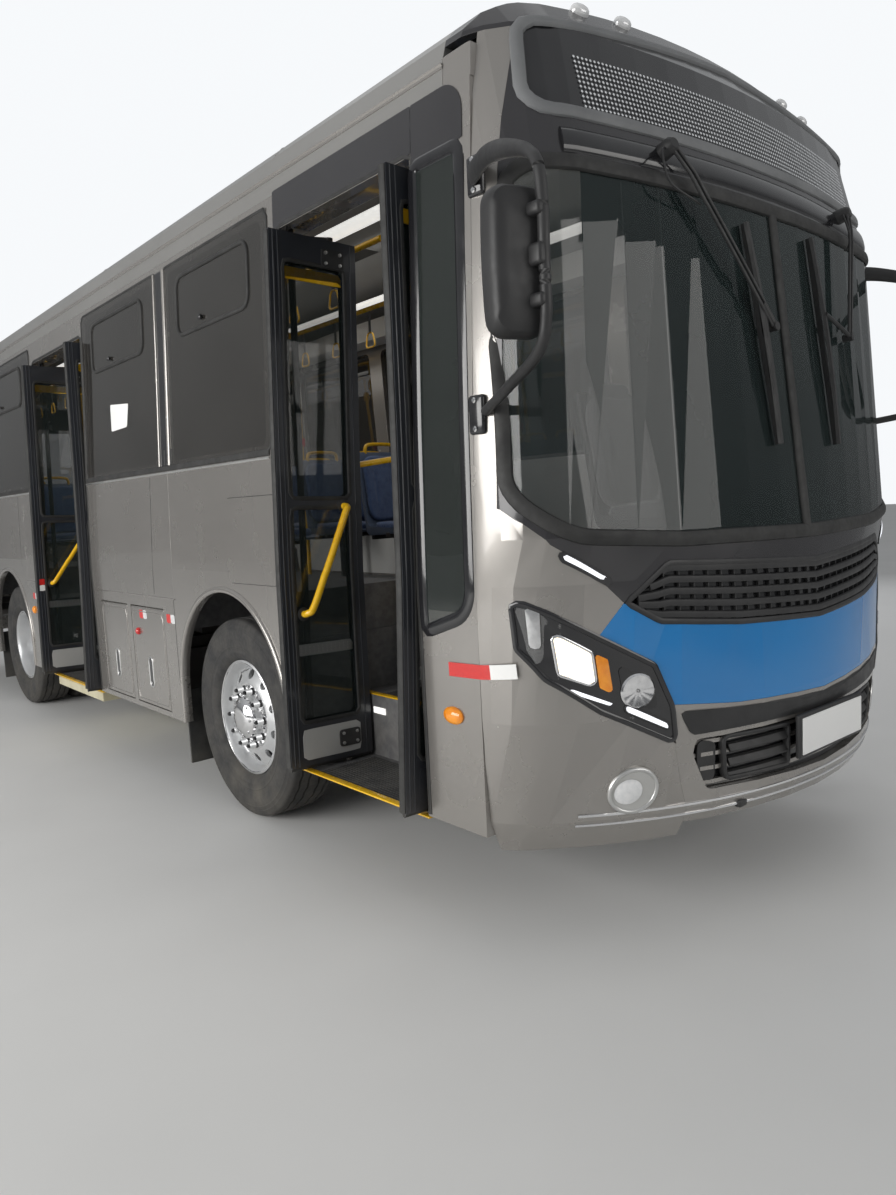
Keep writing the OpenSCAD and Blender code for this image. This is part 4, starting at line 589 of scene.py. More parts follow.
def dress(node, mat, bevel=0.0, angle=30, name=None):
    # A merged copy of a CAD node with its flat faces joined, edges rounded and the curves smoothed stands for it
    source = frame["nodes"][node]
    mesh = source.data.copy()
    obj = bpy.data.objects.new(name or node + "_finished", mesh)
    bpy.context.collection.objects.link(obj)
    bm = bmesh.new()
    bm.from_mesh(mesh)
    bmesh.ops.remove_doubles(bm, verts=bm.verts, dist=2e-5)
    if bevel:
        bmesh.ops.dissolve_limit(bm, angle_limit=math.radians(0.4), verts=bm.verts, edges=bm.edges)
    bm.to_mesh(mesh)
    bm.free()
    mesh.polygons.foreach_set("use_smooth", np.ones(len(mesh.polygons), dtype=bool))
    mesh.set_sharp_from_angle(angle=math.radians(angle))
    mesh.materials.clear()
    mesh.materials.append(mats[mat])
    mesh.polygons.foreach_set("material_index", np.zeros(len(mesh.polygons), dtype=np.int32))
    if bevel:
        mod = obj.modifiers.new("edges", "BEVEL")
        mod.width, mod.segments, mod.limit_method, mod.angle_limit = bevel, 2, "ANGLE", math.radians(angle)
        mod.use_clamp_overlap = True
        mod.harden_normals = False
    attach(obj, nodeBody[node])
    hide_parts(node)
    return obj


def repaint(node, mat):
    # A CAD node that stays as it is gets its finish
    frame["nodes"][node].data.materials.clear()
    frame["nodes"][node].data.materials.append(mats[mat])


print("mesh tools ready")

# Body panels that keep the CAD's form: finish and edge radius
panels = dict(side_wall_right=("silverPaint", 0.0015), side_wall_left=("silverPaint", 0.0015), roof_shell=("roofPaint", 0.0),
              rear_wall=("silverPaint", 0.0), front_mask=("charcoalPaint", 0.003), front_corners=("silverPaint", 0.003),
              front_panel=("bluePaint", 0.003), rear_bumper=("silverPaint", 0.006), roof_hatch_front=("roofPaint", 0.008),
              roof_hatch_rear=("roofPaint", 0.008), skirt_hatch_front=("silverPaint", 0.0015),
              skirt_hatch_rear=("silverPaint", 0.0015), engine_cover=("trimBlack", 0.012), dashboard=("trimBlack", 0.01))
for node, (mat, bevel) in panels.items():
    dress(node, mat, bevel)
keptNodes = dict(chassis_frame="chassisBlack", cross_members="chassisBlack", outriggers="chassisBlack", engine_block="castIron",
                 drive_shaft="chassisBlack", exhaust="castIron", step_wells="floorGrey", wheel_boxes="floorGrey", tanks="chassisBlack", front_axle="chassisBlack", rear_axle="chassisBlack", leaf_springs="chassisBlack",
                 cabin_floor="floorGrey", lift_platform="stepCream", knuckle_right="castIron", knuckle_left="castIron",
                 rear_glass="tintedGlass", side_glass="tintedGlass",
                 grab_rails="yellowPaint", steering_wheel="trimBlack", tail_lamps="lampRed", windscreen="windscreenGlass",
                 destination_sign="glossBlack", headlamps="lensGlass", front_bumper="silverPaint", front_grille="trimBlack",
                 mirrors="trimBlack", wipers="trimBlack", driver_seat="driverCloth",
                 passenger_seats="seatShell")
for node, mat in keptNodes.items():
    repaint(node, mat)
for node in frame["nodes"]:
    if "door" in node:
        repaint(node, "doorBlack")
print("panels dressed")

# Stage: a pale floor that fades to white for the camera and keeps the shadow
floorMesh = bpy.data.meshes.new("paleFloor")
floorMesh.from_pydata([(-60, -60, -0.001), (60, -60, -0.001), (60, 60, -0.001), (-60, 60, -0.001)], [], [(0, 1, 2, 3)])
paleFloor = bpy.data.objects.new("paleFloor", floorMesh)
bpy.context.collection.objects.link(paleFloor)
floorMat = makeFinish("paleFloorFinish", (0.74, 0.74, 0.73), (0.78, 0.78, 0.77), 0.55, 0.7, 0.0, 0.0, 0.6, 60.0, 0.0002, None, 0.0)
floorMesh.materials.append(floorMat)

# Windscreen: rubber seal round both panes and the middle post. x, z and corner radius
screen = dict(outline=[(0, 1.361, 0), (0.7, 1.372, 0), (1.236, 1.412, 0.2), (1.162, 2.546, 0.07), (0, 2.535, 0)],
              sealWide=0.052, sealHigh=0.011, postX=-0.032, postWide=0.05)
screenLine = roundedOutline(mirrored(screen["outline"]), 12)
outlineBand("windscreen_seal", screenLine, onFront, domeSection(screen["sealWide"], screen["sealHigh"], 0.006), "rubber",
            step=0.025)
postZ = np.linspace(1.372, 2.53, 40)
postPts, postN = onFront(screen["postX"] + 0 * postZ, postZ)
addPiece("windscreen_post", *bandParts(postPts, postN, domeSection(screen["postWide"], 0.009, 0.012)), "rubber")

# Destination sign: grey seal, dark panel and a blank field of lamp dots
sign = dict(outline=[(0, 2.7, 0), (1.1, 2.712, 0.07), (1.062, 3.0, 0.06), (0, 3.105, 0)], sealWide=0.045,
            field=(-0.90, 0.85, 2.722, 2.905), pitch=0.0165, dot=0.0047)
signLine = roundedOutline(mirrored(sign["outline"]), 8)
outlineBand("sign_seal", signLine, onFront, domeSection(sign["sealWide"], 0.012, 0.006), "greyRubber", step=0.03)


def dotField(s):
    # Six-sided low cones on a square lattice: lattice point plus ring, tip raised along the normal
    x, z = np.meshgrid(np.arange(s["field"][0], s["field"][1], s["pitch"]), np.arange(s["field"][2], s["field"][3], s["pitch"]))
    x, z = x.ravel(), z.ravel()
    a = np.linspace(0, 2 * np.pi, 6, endpoint=False)
    ring, _ = onFront(x[:, None] + s["dot"] * np.cos(a), z[:, None] + s["dot"] * np.sin(a), 0.0006)
    tip, _ = onFront(x, z, 0.0018)
    pts = np.concatenate([ring, tip[:, None]], 1)
    base = np.arange(len(x))[:, None, None] * 7
    k = np.arange(6)
    tri = np.stack([k, (k + 1) % 6, np.full(6, 6)], -1)[None] + base
    low = (np.arange(6)[::-1][None] + base[:, 0]).tolist()
    return pts, tri.reshape(-1, 3).tolist() + low


addPiece("sign_dots", *dotField(sign), "signDots", smooth=False)

# Dark cover strip between the sign and the windscreen, which the wiper spindles come through
capZ = 2.615
capX = np.linspace(-1.02, 1.02, 60)
capPts, capN = onFront(capX, capZ + 0 * capX)
addPiece("wiper_cover", *bandParts(capPts, capN, domeSection(0.085, 0.012, 0.004)), "glossBlack")

# Wipers: spindle, elbow, blade top and blade foot as x, z
wiper = dict(sets=[((-0.618, 2.63), (-0.169, 2.088), (-0.25, 2.45), (-0.187, 1.676)),
                   ((0.6, 2.63), (0.468, 2.111), (0.215, 2.471), (0.265, 1.679))], rod=0.008, stand=0.052)


def wiperParts(pivot, elbow, top, foot, w):
    # Two parallel rods from the spindle to the elbow, a bowed blade carrier and a rubber blade on the glass
    t = np.linspace(0, 1, 14)
    parts = []
    for shift in (-0.014, 0.014):
        x = pivot[0] + (elbow[0] - pivot[0]) * t + shift
        z = pivot[1] + (elbow[1] - pivot[1]) * t
        p, _ = onFront(x, z, w["stand"] * (1 - 0.25 * t))
        parts.append(tubeParts(p, w["rod"] * 0.75, 8, up=(0, 1, 0)))
    bx, bz = top[0] + (foot[0] - top[0]) * t, top[1] + (foot[1] - top[1]) * t
    p, n = onFront(bx, bz, 0.022 + 0.012 * np.sin(np.pi * t))
    parts.append(bandParts(p, n, [(-0.011, -0.004), (0.011, -0.004), (0.007, 0.007), (-0.007, 0.007)]))
    p, n = onFront(bx, bz, 0.001)
    parts.append(bandParts(p, n, [(-0.003, 0.0), (0.003, 0.0), (0.006, 0.02), (-0.006, 0.02)]))
    p, _ = onFront(np.array([elbow[0]] * 2), np.array([elbow[1]] * 2), np.array([0.012, 0.05]))
    parts.append(tubeParts(p, 0.016, 12, up=(1, 0, 0)))
    p, _ = onFront(np.array([pivot[0]] * 3), np.array([pivot[1]] * 3), np.array([-0.002, 0.05, 0.064]))
    parts.append(tubeParts(p, np.array([0.03, 0.028, 0.018]), 16, up=(1, 0, 0)))
    link = np.linspace([elbow[0], elbow[1]], [(top[0] + foot[0]) / 2 + 0.2 * (top[0] - foot[0]), (top[1] + foot[1]) / 2 + 0.1], 6)
    p, _ = onFront(link[:, 0], link[:, 1], 0.04)
    parts.append(tubeParts(p, 0.008, 8, up=(0, 1, 0)))
    hose = np.array([[pivot[0] + 0.01, pivot[1] + 0.01], [pivot[0] - 0.05, pivot[1] - 0.03], [pivot[0] - 0.04, pivot[1] - 0.12],
                     [pivot[0] + 0.3 * (elbow[0] - pivot[0]) - 0.02, pivot[1] + 0.3 * (elbow[1] - pivot[1])]])
    curve = smoothPath(hose, 22)
    p, _ = onFront(curve[:, 0], curve[:, 1], 0.03 + 0.02 * np.sin(np.linspace(0, np.pi, 22)))
    parts.append(tubeParts(p, 0.004, 6, up=(0, 1, 0)))
    return parts


wiperPiece = addPiece("wipers_finished", *merged([q for s in wiper["sets"] for q in wiperParts(*s, wiper)]), "trimBlack")
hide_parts("wipers")

# Slim lamp in the mask's sweep, each side: outline as x, z, radius
slimLamp = dict(bezel=[(1.149, 1.372, 0.01), (1.13, 1.326, 0.02), (0.947, 1.216, 0.012), (0.985, 1.278, 0.03)],
                lens=[(1.138, 1.362, 0.006), (1.12, 1.332, 0.012), (0.965, 1.238, 0.008), (0.99, 1.268, 0.015)])
for tag, s in (("right", -1), ("left", 1)):
    flip = lambda line: [(s * p[0], p[1], p[2]) for p in line]
    addPiece("slim_lamp_bezel_" + tag, *patchParts(roundedOutline(flip(slimLamp["bezel"])), onFront, 0.004, depth=0.006, step=0.012),
             "glossBlack")
    addPiece("slim_lamp_lens_" + tag, *patchParts(roundedOutline(flip(slimLamp["lens"])), onFront, 0.006, crown=0.004, step=0.012),
             "ledGlow")
print("front glass, sign, wipers and slim lamps made")

# Headlamp units. The CAD's clear cover stays; behind and on it come bezel, dishes, bands and bulbs, as x, z, radius
headLamp = dict(
    bezel=[(0.748, 0.690, 0.016), (1.009, 0.833, 0.06), (1.160, 0.952, 0.06), (1.214, 1.05, 0.04), (1.223, 1.211, 0.012),
           (1.123, 1.143, 0), (1.0126, 1.0754, 0), (0.8276, 0.9664, 0), (0.7696, 0.8254, 0)],
    square=[(1.148, 1.105, 0.012), (1.035, 1.03, 0.012), (1.02, 0.915, 0.016), (1.13, 0.965, 0.016)],
    amber=[(1.026, 1.026, 0.006), (0.985, 1.003, 0.006), (0.968, 0.885, 0.01), (1.012, 0.912, 0.01)],
    dish=[(0.955, 0.985, 0.012), (0.845, 0.915, 0.035), (0.81, 0.802, 0.02), (0.935, 0.868, 0.012)],
    led=[(0.935, 0.852, 0.008), (0.785, 0.768, 0.006), (0.773, 0.738, 0.006), (0.93, 0.822, 0.014)],
    slim=[(1.105, 0.922, 0.006), (0.972, 0.857, 0.006), (0.97, 0.845, 0.008), (1.1, 0.905, 0.006)],
    side=[(1.2, 1.19, 0.006), (1.172, 1.172, 0.006), (1.168, 1.04, 0.01), (1.192, 1.06, 0.01)],
    fog=(0.882, 0.544, 0.0745))


def ringOn(x0, z0, radius, steps=40):
    a = np.linspace(0, 2 * np.pi, steps, endpoint=False)
    return np.stack([x0 + radius * np.cos(a), z0 + radius * np.sin(a)], 1)


for tag, s in (("right", -1), ("left", 1)):
    side = lambda key: roundedOutline([(s * p[0], p[1], p[2]) for p in headLamp[key]], 5)
    glossRim = outlineBand("lamp_bezel_" + tag, side("bezel"), lambda x, z: onFront(x, z, -0.001), domeSection(0.02, 0.006, 0.006),
                           "glossBlack", step=0.012)
    addPiece("lamp_housing_" + tag, *patchParts(side("bezel"), onFront, -0.0015, rings=3, step=0.015), "glossBlack")
    addPiece("lamp_main_" + tag, *patchParts(side("square"), onFront, 0.001, crown=0.004, step=0.008), "headGlow")
    outlineBand("lamp_main_rim_" + tag, side("square"), onFront, domeSection(0.012, 0.005, 0.003), "reflector", step=0.01)
    addPiece("lamp_turn_" + tag, *patchParts(side("amber"), onFront, 0.001, crown=0.003, step=0.008), "lampAmber")
    addPiece("lamp_led_" + tag, *patchParts(side("led"), onFront, 0.001, crown=0.003, step=0.008), "ledGlow")
    outlineBand("lamp_led_rim_" + tag, side("led"), onFront, domeSection(0.007, 0.004, 0.003), "trimBlack", step=0.01)
    addPiece("lamp_slim_" + tag, *patchParts(side("slim"), onFront, 0.001, crown=0.002, step=0.008), "ledGlow")
    addPiece("lamp_corner_strip_" + tag, *patchParts(side("side"), onFront, 0.0006, crown=0.001, step=0.01), "reflector")
    addPiece("lamp_dish_field_" + tag, *patchParts(side("dish"), onFront, 0.0006, crown=0.001, step=0.01), "trimBlack")
    # Second lamp's dish: rings round a centre, sunk by a bowl of depth r squared, with facets as a low wave
    cx, cz, rad = s * 0.888, 0.888, 0.052
    a = np.linspace(0, 2 * np.pi, 48, endpoint=False)
    r = np.linspace(1, 0.04, 9)[:, None]
    bowl, _ = onFront(cx + rad * r * np.cos(a), cz + rad * r * np.sin(a), 0.006 - 0.0045 * (1 - r ** 2) + 0.0006 * np.cos(12 * a) * r)
    rim, _ = onFront(cx + (rad + 0.006) * np.cos(a), cz + (rad + 0.006) * np.sin(a), 0.0012 + 0 * a)
    tip, _ = onFront(np.full(48, cx), np.full(48, cz), np.full(48, 0.0052))
    addPiece("lamp_dish_" + tag, np.concatenate([rim[None], bowl, tip[None]]), gridFaces(11, 48, wrapV=True), "reflector")
    # Fog lamp: bright ring, sunk bowl and small lens
    fx, fz, fr = s * headLamp["fog"][0], headLamp["fog"][1], headLamp["fog"][2]
    outlineBand("fog_ring_" + tag, ringOn(fx, fz, fr), onFront, domeSection(0.016, 0.008, 0.006), "aluminium", step=0.012)
    rr = np.linspace(1, 0.02, 8)[:, None]
    bowl, _ = onFront(fx + 0.072 * rr * np.cos(a), fz + 0.072 * rr * np.sin(a), 0.003 + 0 * rr * a)
    addPiece("fog_field_" + tag, bowl, gridFaces(8, 48, wrapV=True), "innerGrey")
    lens, _ = onFront(fx + s * 0.018 + 0.044 * rr * np.cos(a), fz + 0.044 * rr * np.sin(a), 0.005 + 0.008 * (1 - rr ** 2) + 0 * a)
    addPiece("fog_lens_" + tag, lens, gridFaces(8, 48, wrapV=True), "lampClear")

# Upper grille: dark back plate, curved slats and ribs behind them
grille = dict(outline=[(0, 1.047, 0), (0.471, 1.073, 0), (0.80, 1.109, 0.03), (0.92, 1.18, 0.006), (0.766, 1.297, 0.008),
                       (0, 1.253, 0)], slats=5, ribs=27)
grilleLine = roundedOutline(mirrored(grille["outline"]), 6)
addPiece("grille_back", *patchParts(grilleLine, onFront, -0.018, rings=4, depth=0.004, step=0.03), "glossBlack")
t = np.linspace(-1, 1, 90)
slatParts = []
for i in range(grille["slats"]):
    f = (i + 0.62) / grille["slats"]
    reach = np.interp(f, [0, 0.45, 1], [0.835, 0.895, 0.775])
    x = reach * t
    low = np.interp(np.abs(x), [0, 0.471, 0.80, 0.92], [1.047, 1.073, 1.109, 1.15])
    high = np.interp(np.abs(x), [0, 0.766, 0.92], [1.253, 1.297, 1.22])
    z = low + (high - low) * f
    p, n = onFront(x, z, -0.002)
    slatParts.append(bandParts(p, n, [(-0.0125, -0.004), (-0.004, -0.012), (0.0105, -0.006), (0.012, 0.001), (0.004, 0.0045),
                                      (-0.009, 0.003)]))
addPiece("grille_slats", *merged(slatParts), "trimBlack")
ribParts = []
for x in np.linspace(-0.78, 0.78, grille["ribs"]):
    low = np.interp(abs(x), [0, 0.471, 0.80], [1.05, 1.076, 1.112])
    high = np.interp(abs(x), [0, 0.766, 0.92], [1.25, 1.293, 1.22])
    z = np.linspace(low, high, 6)
    p, n = onFront(x + 0 * z, z, -0.013)
    ribParts.append(bandParts(p, n, [(-0.003, -0.006), (0.003, -0.006), (0.002, 0.006), (-0.002, 0.006)]))
addPiece("grille_ribs", *merged(ribParts), "trimBlack")
rimPiece = outlineBand("grille_rim", grilleLine, onFront, domeSection(0.02, 0.004, 0.012), "trimBlack", step=0.02)
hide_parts("front_grille")

# Lower intake: dark field, three rows of slats in the two side bays, side pockets and the blank plate on its holder
intake = dict(outline=[(0, 0.489, 0), (0.62, 0.507, 0.03), (0.674, 0.64, 0.03), (0.668, 0.748, 0.02), (0, 0.74, 0)],
              band=[(0, 0.702, 0), (0.69, 0.71, 0.01), (0.745, 0.80, 0.01), (0.48, 0.779, 0), (0, 0.757, 0)], slatZ=(0.535, 0.585, 0.635))
addPiece("intake_back", *patchParts(roundedOutline(mirrored(intake["outline"]), 6), onFront, -0.03, rings=4, depth=0.004, step=0.03),
         "glossBlack")
addPiece("intake_band", *patchParts(roundedOutline(mirrored(intake["band"]), 6), onFront, 0.002, rings=4, crown=0.004, depth=0.03,
                                    step=0.02), "trimBlack")
slatParts = []
for z0 in intake["slatZ"]:
    for x0, x1 in ((-0.53, -0.24), (0.24, 0.53)):
        x = np.linspace(x0, x1, 16)
        p, n = onFront(x, z0 + 0 * x, -0.006)
        slatParts.append(bandParts(p, n, [(-0.016, -0.018), (0.010, -0.006), (0.014, 0.004), (0.008, 0.006), (-0.012, -0.006)]))
addPiece("intake_slats", *merged(slatParts), "trimBlack")
pocketParts = []
for s in (-1, 1):
    frameLine = roundedOutline([(s * 0.545, 0.53, 0.02), (s * 0.235, 0.525, 0.01), (s * 0.235, 0.672, 0.01), (s * 0.56, 0.682, 0.02)], 4)
    line = spaced(frameLine, 0.015)
    p, n = onFront(line[:, 0], line[:, 1], -0.004)
    pocketParts.append(bandParts(p, n, domeSection(0.016, 0.006, 0.02), True))
    corner = roundedOutline([(s * 0.655, 0.545, 0.02), (s * 0.585, 0.525, 0.02), (s * 0.585, 0.665, 0.02), (s * 0.66, 0.685, 0.02)], 4)
    pocketParts.append(patchParts(corner, onFront, -0.012, rings=3, crown=-0.008, depth=0.01, step=0.012))
addPiece("intake_frames", *merged(pocketParts), "trimBlack")
plate = dict(x=(-0.235, 0.235), z=(0.555, 0.70), out=0.034)
px = np.linspace(*plate["x"], 12)
plateY = float(onFront(0.0, 0.62, plate["out"])[0][1])
addPiece("blank_plate", *boxParts((0.0, plateY, 0.63), (0.46, 0.006, 0.135), 0.003), "whitePaper")
addPiece("plate_holder", *boxParts((0.0, plateY + 0.012, 0.63), (0.49, 0.02, 0.16), 0.006), "trimBlack")
print("front lamps, grille and intake made")

# Doors' and side's fixed dark pane ahead of the front door: y, z, radius
sidePane = [(-3.82, 1.16, 0.11), (-3.575, 1.08, 0.02), (-3.555, 2.66, 0.02), (-3.79, 2.66, 0.03)]
rightWindows = [(-2.5, -1.5), (-1.29, -0.2), (1.12, 2.42), (2.56, 4.12)]
leftWindows = [(-3.6, -2.64), (-2.5, -1.5), (-1.29, -0.2), (-0.04, 1.06), (1.2, 2.42), (2.56, 4.12)]


def rectLine(y0, y1, z0, z1, r, steps=6):
    return roundedOutline([(y0, z0, r), (y1, z0, r), (y1, z1, r), (y0, z1, r)], steps)


onRight = lambda y, z, out=0.0: onSide(y, z, out, -1)
onLeft = lambda y, z, out=0.0: onSide(y, z, out, 1)

# Bonded panes over the window openings: each is a sheet set on the wall, with a hopper vent in its upper part
pane = dict(over=0.075, out=0.003, foot=1.795, top=2.815, hopper=(0.22, 0.88, 2.44, 2.73))
for tag, windows, place in (("right", rightWindows, onRight), ("left", leftWindows, onLeft)):
    sheets, seals, frames, latches = [], [], [], []
    for k, (y0, y1) in enumerate(windows):
        outer = rectLine(y0 - 0.055, y1 + 0.055, pane["foot"], pane["top"], 0.03)
        line = spaced(outer, 0.05)
        p, n = place(line[:, 0], line[:, 1], pane["out"])
        seals.append(bandParts(p, n, domeSection(0.014, 0.003, 0.006), True))
        u, v = np.meshgrid(np.linspace(y0 - 0.055, y1 + 0.055, 20), np.linspace(pane["foot"], pane["top"], 20))
        top, _ = place(u, v, pane["out"])
        sheets.append((top, gridFaces(20, 20)))
        if (y1 - y0) > 0.9:
            h = pane["hopper"]
            ya, yb = y0 + h[0] * (y1 - y0) - 0.1, y0 + h[1] * (y1 - y0)
            loop = spaced(rectLine(ya, yb, h[2], h[3], 0.06, 8), 0.02)
            p, n = place(loop[:, 0], loop[:, 1], pane["out"] + 0.001)
            frames.append(bandParts(p, n, domeSection(0.02, 0.009, 0.002), True))
            k0, _ = place(np.array([(ya + yb) / 2 + 0.1]), np.array([h[2] + 0.045]), pane["out"] + 0.01)
            latches.append(boxParts(k0[0], (0.016, 0.028, 0.024), 0.006))
    addPiece("window_panes_" + tag, *merged(sheets), "tintedGlass")
    addPiece("window_seals_" + tag, *merged(seals), "rubber")
    addPiece("hopper_frames_" + tag, *merged(frames), "rubber")
    addPiece("hopper_latches_" + tag, *merged(latches), "glossBlack")

# Dark surround of the pane ahead of the front door
outlineBand("side_pane_seal", roundedOutline(sidePane, 10), onRight, domeSection(0.05, 0.006, 0.004), "glossBlack", step=0.02)
addPiece("side_pane_field", *patchParts(roundedOutline(sidePane, 10), onRight, 0.002, rings=6, step=0.03), "doorGlass")

# Dark field over the front door and the pane ahead of it, up to the roof's side band, with its front corner rounded
header = dict(front=-3.813, split=-3.55, back=-2.612, low=2.672, door=2.706, top=2.862)
headerCorner = roundedOutline([(header["front"], header["low"], 0.004), (header["split"], header["low"], 0.004),
                               (header["split"], header["top"], 0.0), (header["front"], header["top"], 0.10)], 8)
headerStrip = rectLine(header["split"] - 0.004, header["back"], header["door"], header["top"], 0.003, 2)
addPiece("door_header_field", *merged([patchParts(headerCorner, onRight, 0.003, rings=5, depth=0.003, step=0.02),
                                       patchParts(headerStrip, onRight, 0.003, rings=5, depth=0.003, step=0.02)]), "charcoalPaint")

# Closing panels between the roof's front end and the front corners: a thin sheet on each side's own surface
closing = dict(front=-3.853, back=-3.716, low=2.846, top=2.95, deep=0.03)
for tag, place in (("right", onRight), ("left", onLeft)):
    sheet = rectLine(closing["front"], closing["back"], closing["low"], closing["top"], 0.002, 2)
    addPiece("roof_end_panel_" + tag, *patchParts(sheet, place, -0.001, rings=3, depth=closing["deep"], step=0.02), "silverPaint")

# Lines on the sides: name, side, list of (y, z) ends, section width and height, finish
beltLines = dict(
    belt_strip_right=(onRight, [[(-2.53, 1.787), (-0.115, 1.787)], [(1.0, 1.787), (4.2, 1.787)]], 0.03, 0.007, "rubber"),
    belt_bright_right=(onRight, [[(-2.53, 1.763), (-0.115, 1.763)], [(1.0, 1.763), (4.2, 1.763)]], 0.012, 0.008, "aluminium"),
    belt_strip_left=(onLeft, [[(-3.8, 1.787), (4.2, 1.787)]], 0.03, 0.007, "rubber"),
    belt_bright_left=(onLeft, [[(-3.8, 1.763), (4.2, 1.763)]], 0.012, 0.008, "aluminium"),
    waist_line_right=(onRight, [[(-1.42, 1.083), (-0.13, 1.083)], [(1.03, 1.083), (1.43, 1.083)], [(2.57, 1.083), (4.2, 1.083)],
                                [(-2.62, 1.083), (-2.57, 1.083)]], 0.008, 0.004, "silverPaint"),
    waist_line_left=(onLeft, [[(-3.8, 1.083), (-2.57, 1.083)], [(-1.43, 1.083), (1.43, 1.083)], [(2.57, 1.083), (4.2, 1.083)]],
                     0.008, 0.004, "silverPaint"),
    panel_seams_right=(onRight, [[(-1.14, 1.1), (-1.17, 1.75)], [(-1.4, 0.62), (-1.4, 1.08)], [(1.55, 1.19), (1.55, 1.75)],
                                 [(3.2, 0.42), (3.2, 1.75)], [(2.62, 0.42), (2.62, 1.07)]], 0.004, 0.0012, "trimBlack"),
    panel_seams_left=(onLeft, [[(-2.65, 0.42), (-2.65, 1.75)], [(-1.3, 0.42), (-1.3, 1.75)], [(0.0, 0.42), (0.0, 1.75)],
                               [(1.3, 0.42), (1.3, 1.75)], [(2.65, 0.42), (2.65, 1.75)], [(3.6, 0.42), (3.6, 1.75)]], 0.004, 0.0012,
                      "trimBlack"))
for name, (place, runs, wide, high, mat) in beltLines.items():
    parts = []
    for a, b in runs:
        line = np.linspace(a, b, max(2, int(abs(b[0] - a[0]) / 0.3) + 6))
        p, n = place(line[:, 0], line[:, 1])
        parts.append(bandParts(p, n, domeSection(wide, high, 0.003, 3)))
    addPiece(name, *merged(parts), mat)

# Window posts: a dark field between two panes under one or two slim bright trims, with small brackets at the belt
post = dict(z=(1.80, 2.81), slim=0.016, broad=0.034, inset=0.045)
for tag, place, stations in (("right", onRight, [(-1.5, -1.29), (2.42, 2.56)]),
                             ("left", onLeft, [(-2.64, -2.5), (-1.5, -1.29), (-0.2, -0.04), (1.06, 1.2), (2.42, 2.56)])):
    trims, fields = [], []
    for ya, yb in stations:
        fields.append(patchParts(rectLine(ya + 0.04, yb - 0.04, post["z"][0], post["z"][1], 0.004), place, 0.005, rings=3,
                                 depth=0.004, step=0.03))
        pair = ((ya + post["inset"], post["broad"]), (yb - post["inset"], post["slim"]))
        for y, wide in pair if yb - ya > 0.18 else (((ya + yb) / 2, post["slim"]),):
            z = np.linspace(*post["z"], 24)
            p, n = place(y + 0 * z, z, 0.004)
            trims.append(bandParts(p, n, domeSection(wide, 0.009, 0.003)))
    addPiece("post_trims_" + tag, *merged(trims), "silverPaint")
    addPiece("post_fields_" + tag, *merged(fields), "glossBlack")
parts = []
for y in (-1.475, -1.395, -1.315):
    p, n = onRight(np.array([y, y]), np.array([1.80, 1.885]))
    parts.append(bandParts(p, n, domeSection(0.03, 0.006, 0.003)))
addPiece("pillar_brackets", *merged(parts), "rubber")

# Blank sheet taped inside the second pane: crown lifts its middle a little off the glass
paperLine = roundedOutline([(-0.62, 2.055, 0.003), (-0.87, 2.06, 0.003), (-0.90, 2.19, 0.003), (-0.61, 2.215, 0.003)], 2)
addPiece("blank_sheet", *patchParts(paperLine, onRight, 0.0045, rings=4, crown=0.004, depth=0.001, step=0.02), "whitePaper")

# Skirt hatches: grip recess, key, reflector squares and the round red marker, riding on their lids
hatches = dict(skirt_hatch_front=dict(y=(-1.25, -0.755), marker=True), skirt_hatch_rear=dict(y=(-0.70, -0.235), marker=False))
for node, h in hatches.items():
    mid = (h["y"][0] + h["y"][1]) / 2
    grip = rectLine(mid - 0.028, mid + 0.028, 0.545, 0.72, 0.024)
    outlineBand(node + "_grip_rim", grip, onRight, domeSection(0.012, 0.005, 0.002), "aluminium", step=0.01, bodyName=node)
    addPiece(node + "_grip", *patchParts(grip, onRight, 0.0012, crown=-0.0008, step=0.012), "glossBlack", node)
    key, _ = onRight(np.full(2, mid), np.full(2, 0.57), np.array([0.0, 0.006]))
    addPiece(node + "_key", *tubeParts(key, 0.009, 14, up=(0, 0, 1)), "chrome", node)
    seam = spaced(rectLine(h["y"][0] + 0.024, h["y"][1] - 0.024, 0.454, 0.985, 0.02), 0.04)
    p, n = onRight(seam[:, 0], seam[:, 1])
    addPiece(node + "_pressing", *bandParts(p, n, domeSection(0.008, 0.0025, 0.002), True), "silverPaint", node)


def reflexPair(name, y0, z0, wide, high, place, bodyName="body", redFirst=True):
    # Two flat rounded tiles side by side, one red and one white
    for i, mat in enumerate(("redBand", "lampClear") if redFirst else ("lampClear", "redBand")):
        tile = rectLine(y0 + i * wide, y0 + (i + 1) * wide, z0, z0 + high, 0.002, 2)
        addPiece(name + "_" + mat, *patchParts(tile, place, 0.0015, rings=2, depth=0.0018, step=0.02), mat, bodyName)


reflexPair("reflex_hatch", -1.00, 0.945, 0.055, 0.05, onRight, "skirt_hatch_front", False)
reflexPair("reflex_side", -1.40, 0.945, 0.055, 0.05, onRight, redFirst=False)
reflexPair("reflex_rear_right", 1.2, 0.945, 0.055, 0.05, onRight, redFirst=False)
reflexPair("reflex_rear_end", 3.4, 0.945, 0.055, 0.05, onRight, redFirst=False)
for k, y in enumerate((-3.3, -1.0, 1.2, 3.4)):
    reflexPair("reflex_left_%d" % k, y, 0.945, 0.055, 0.05, onLeft, redFirst=False)


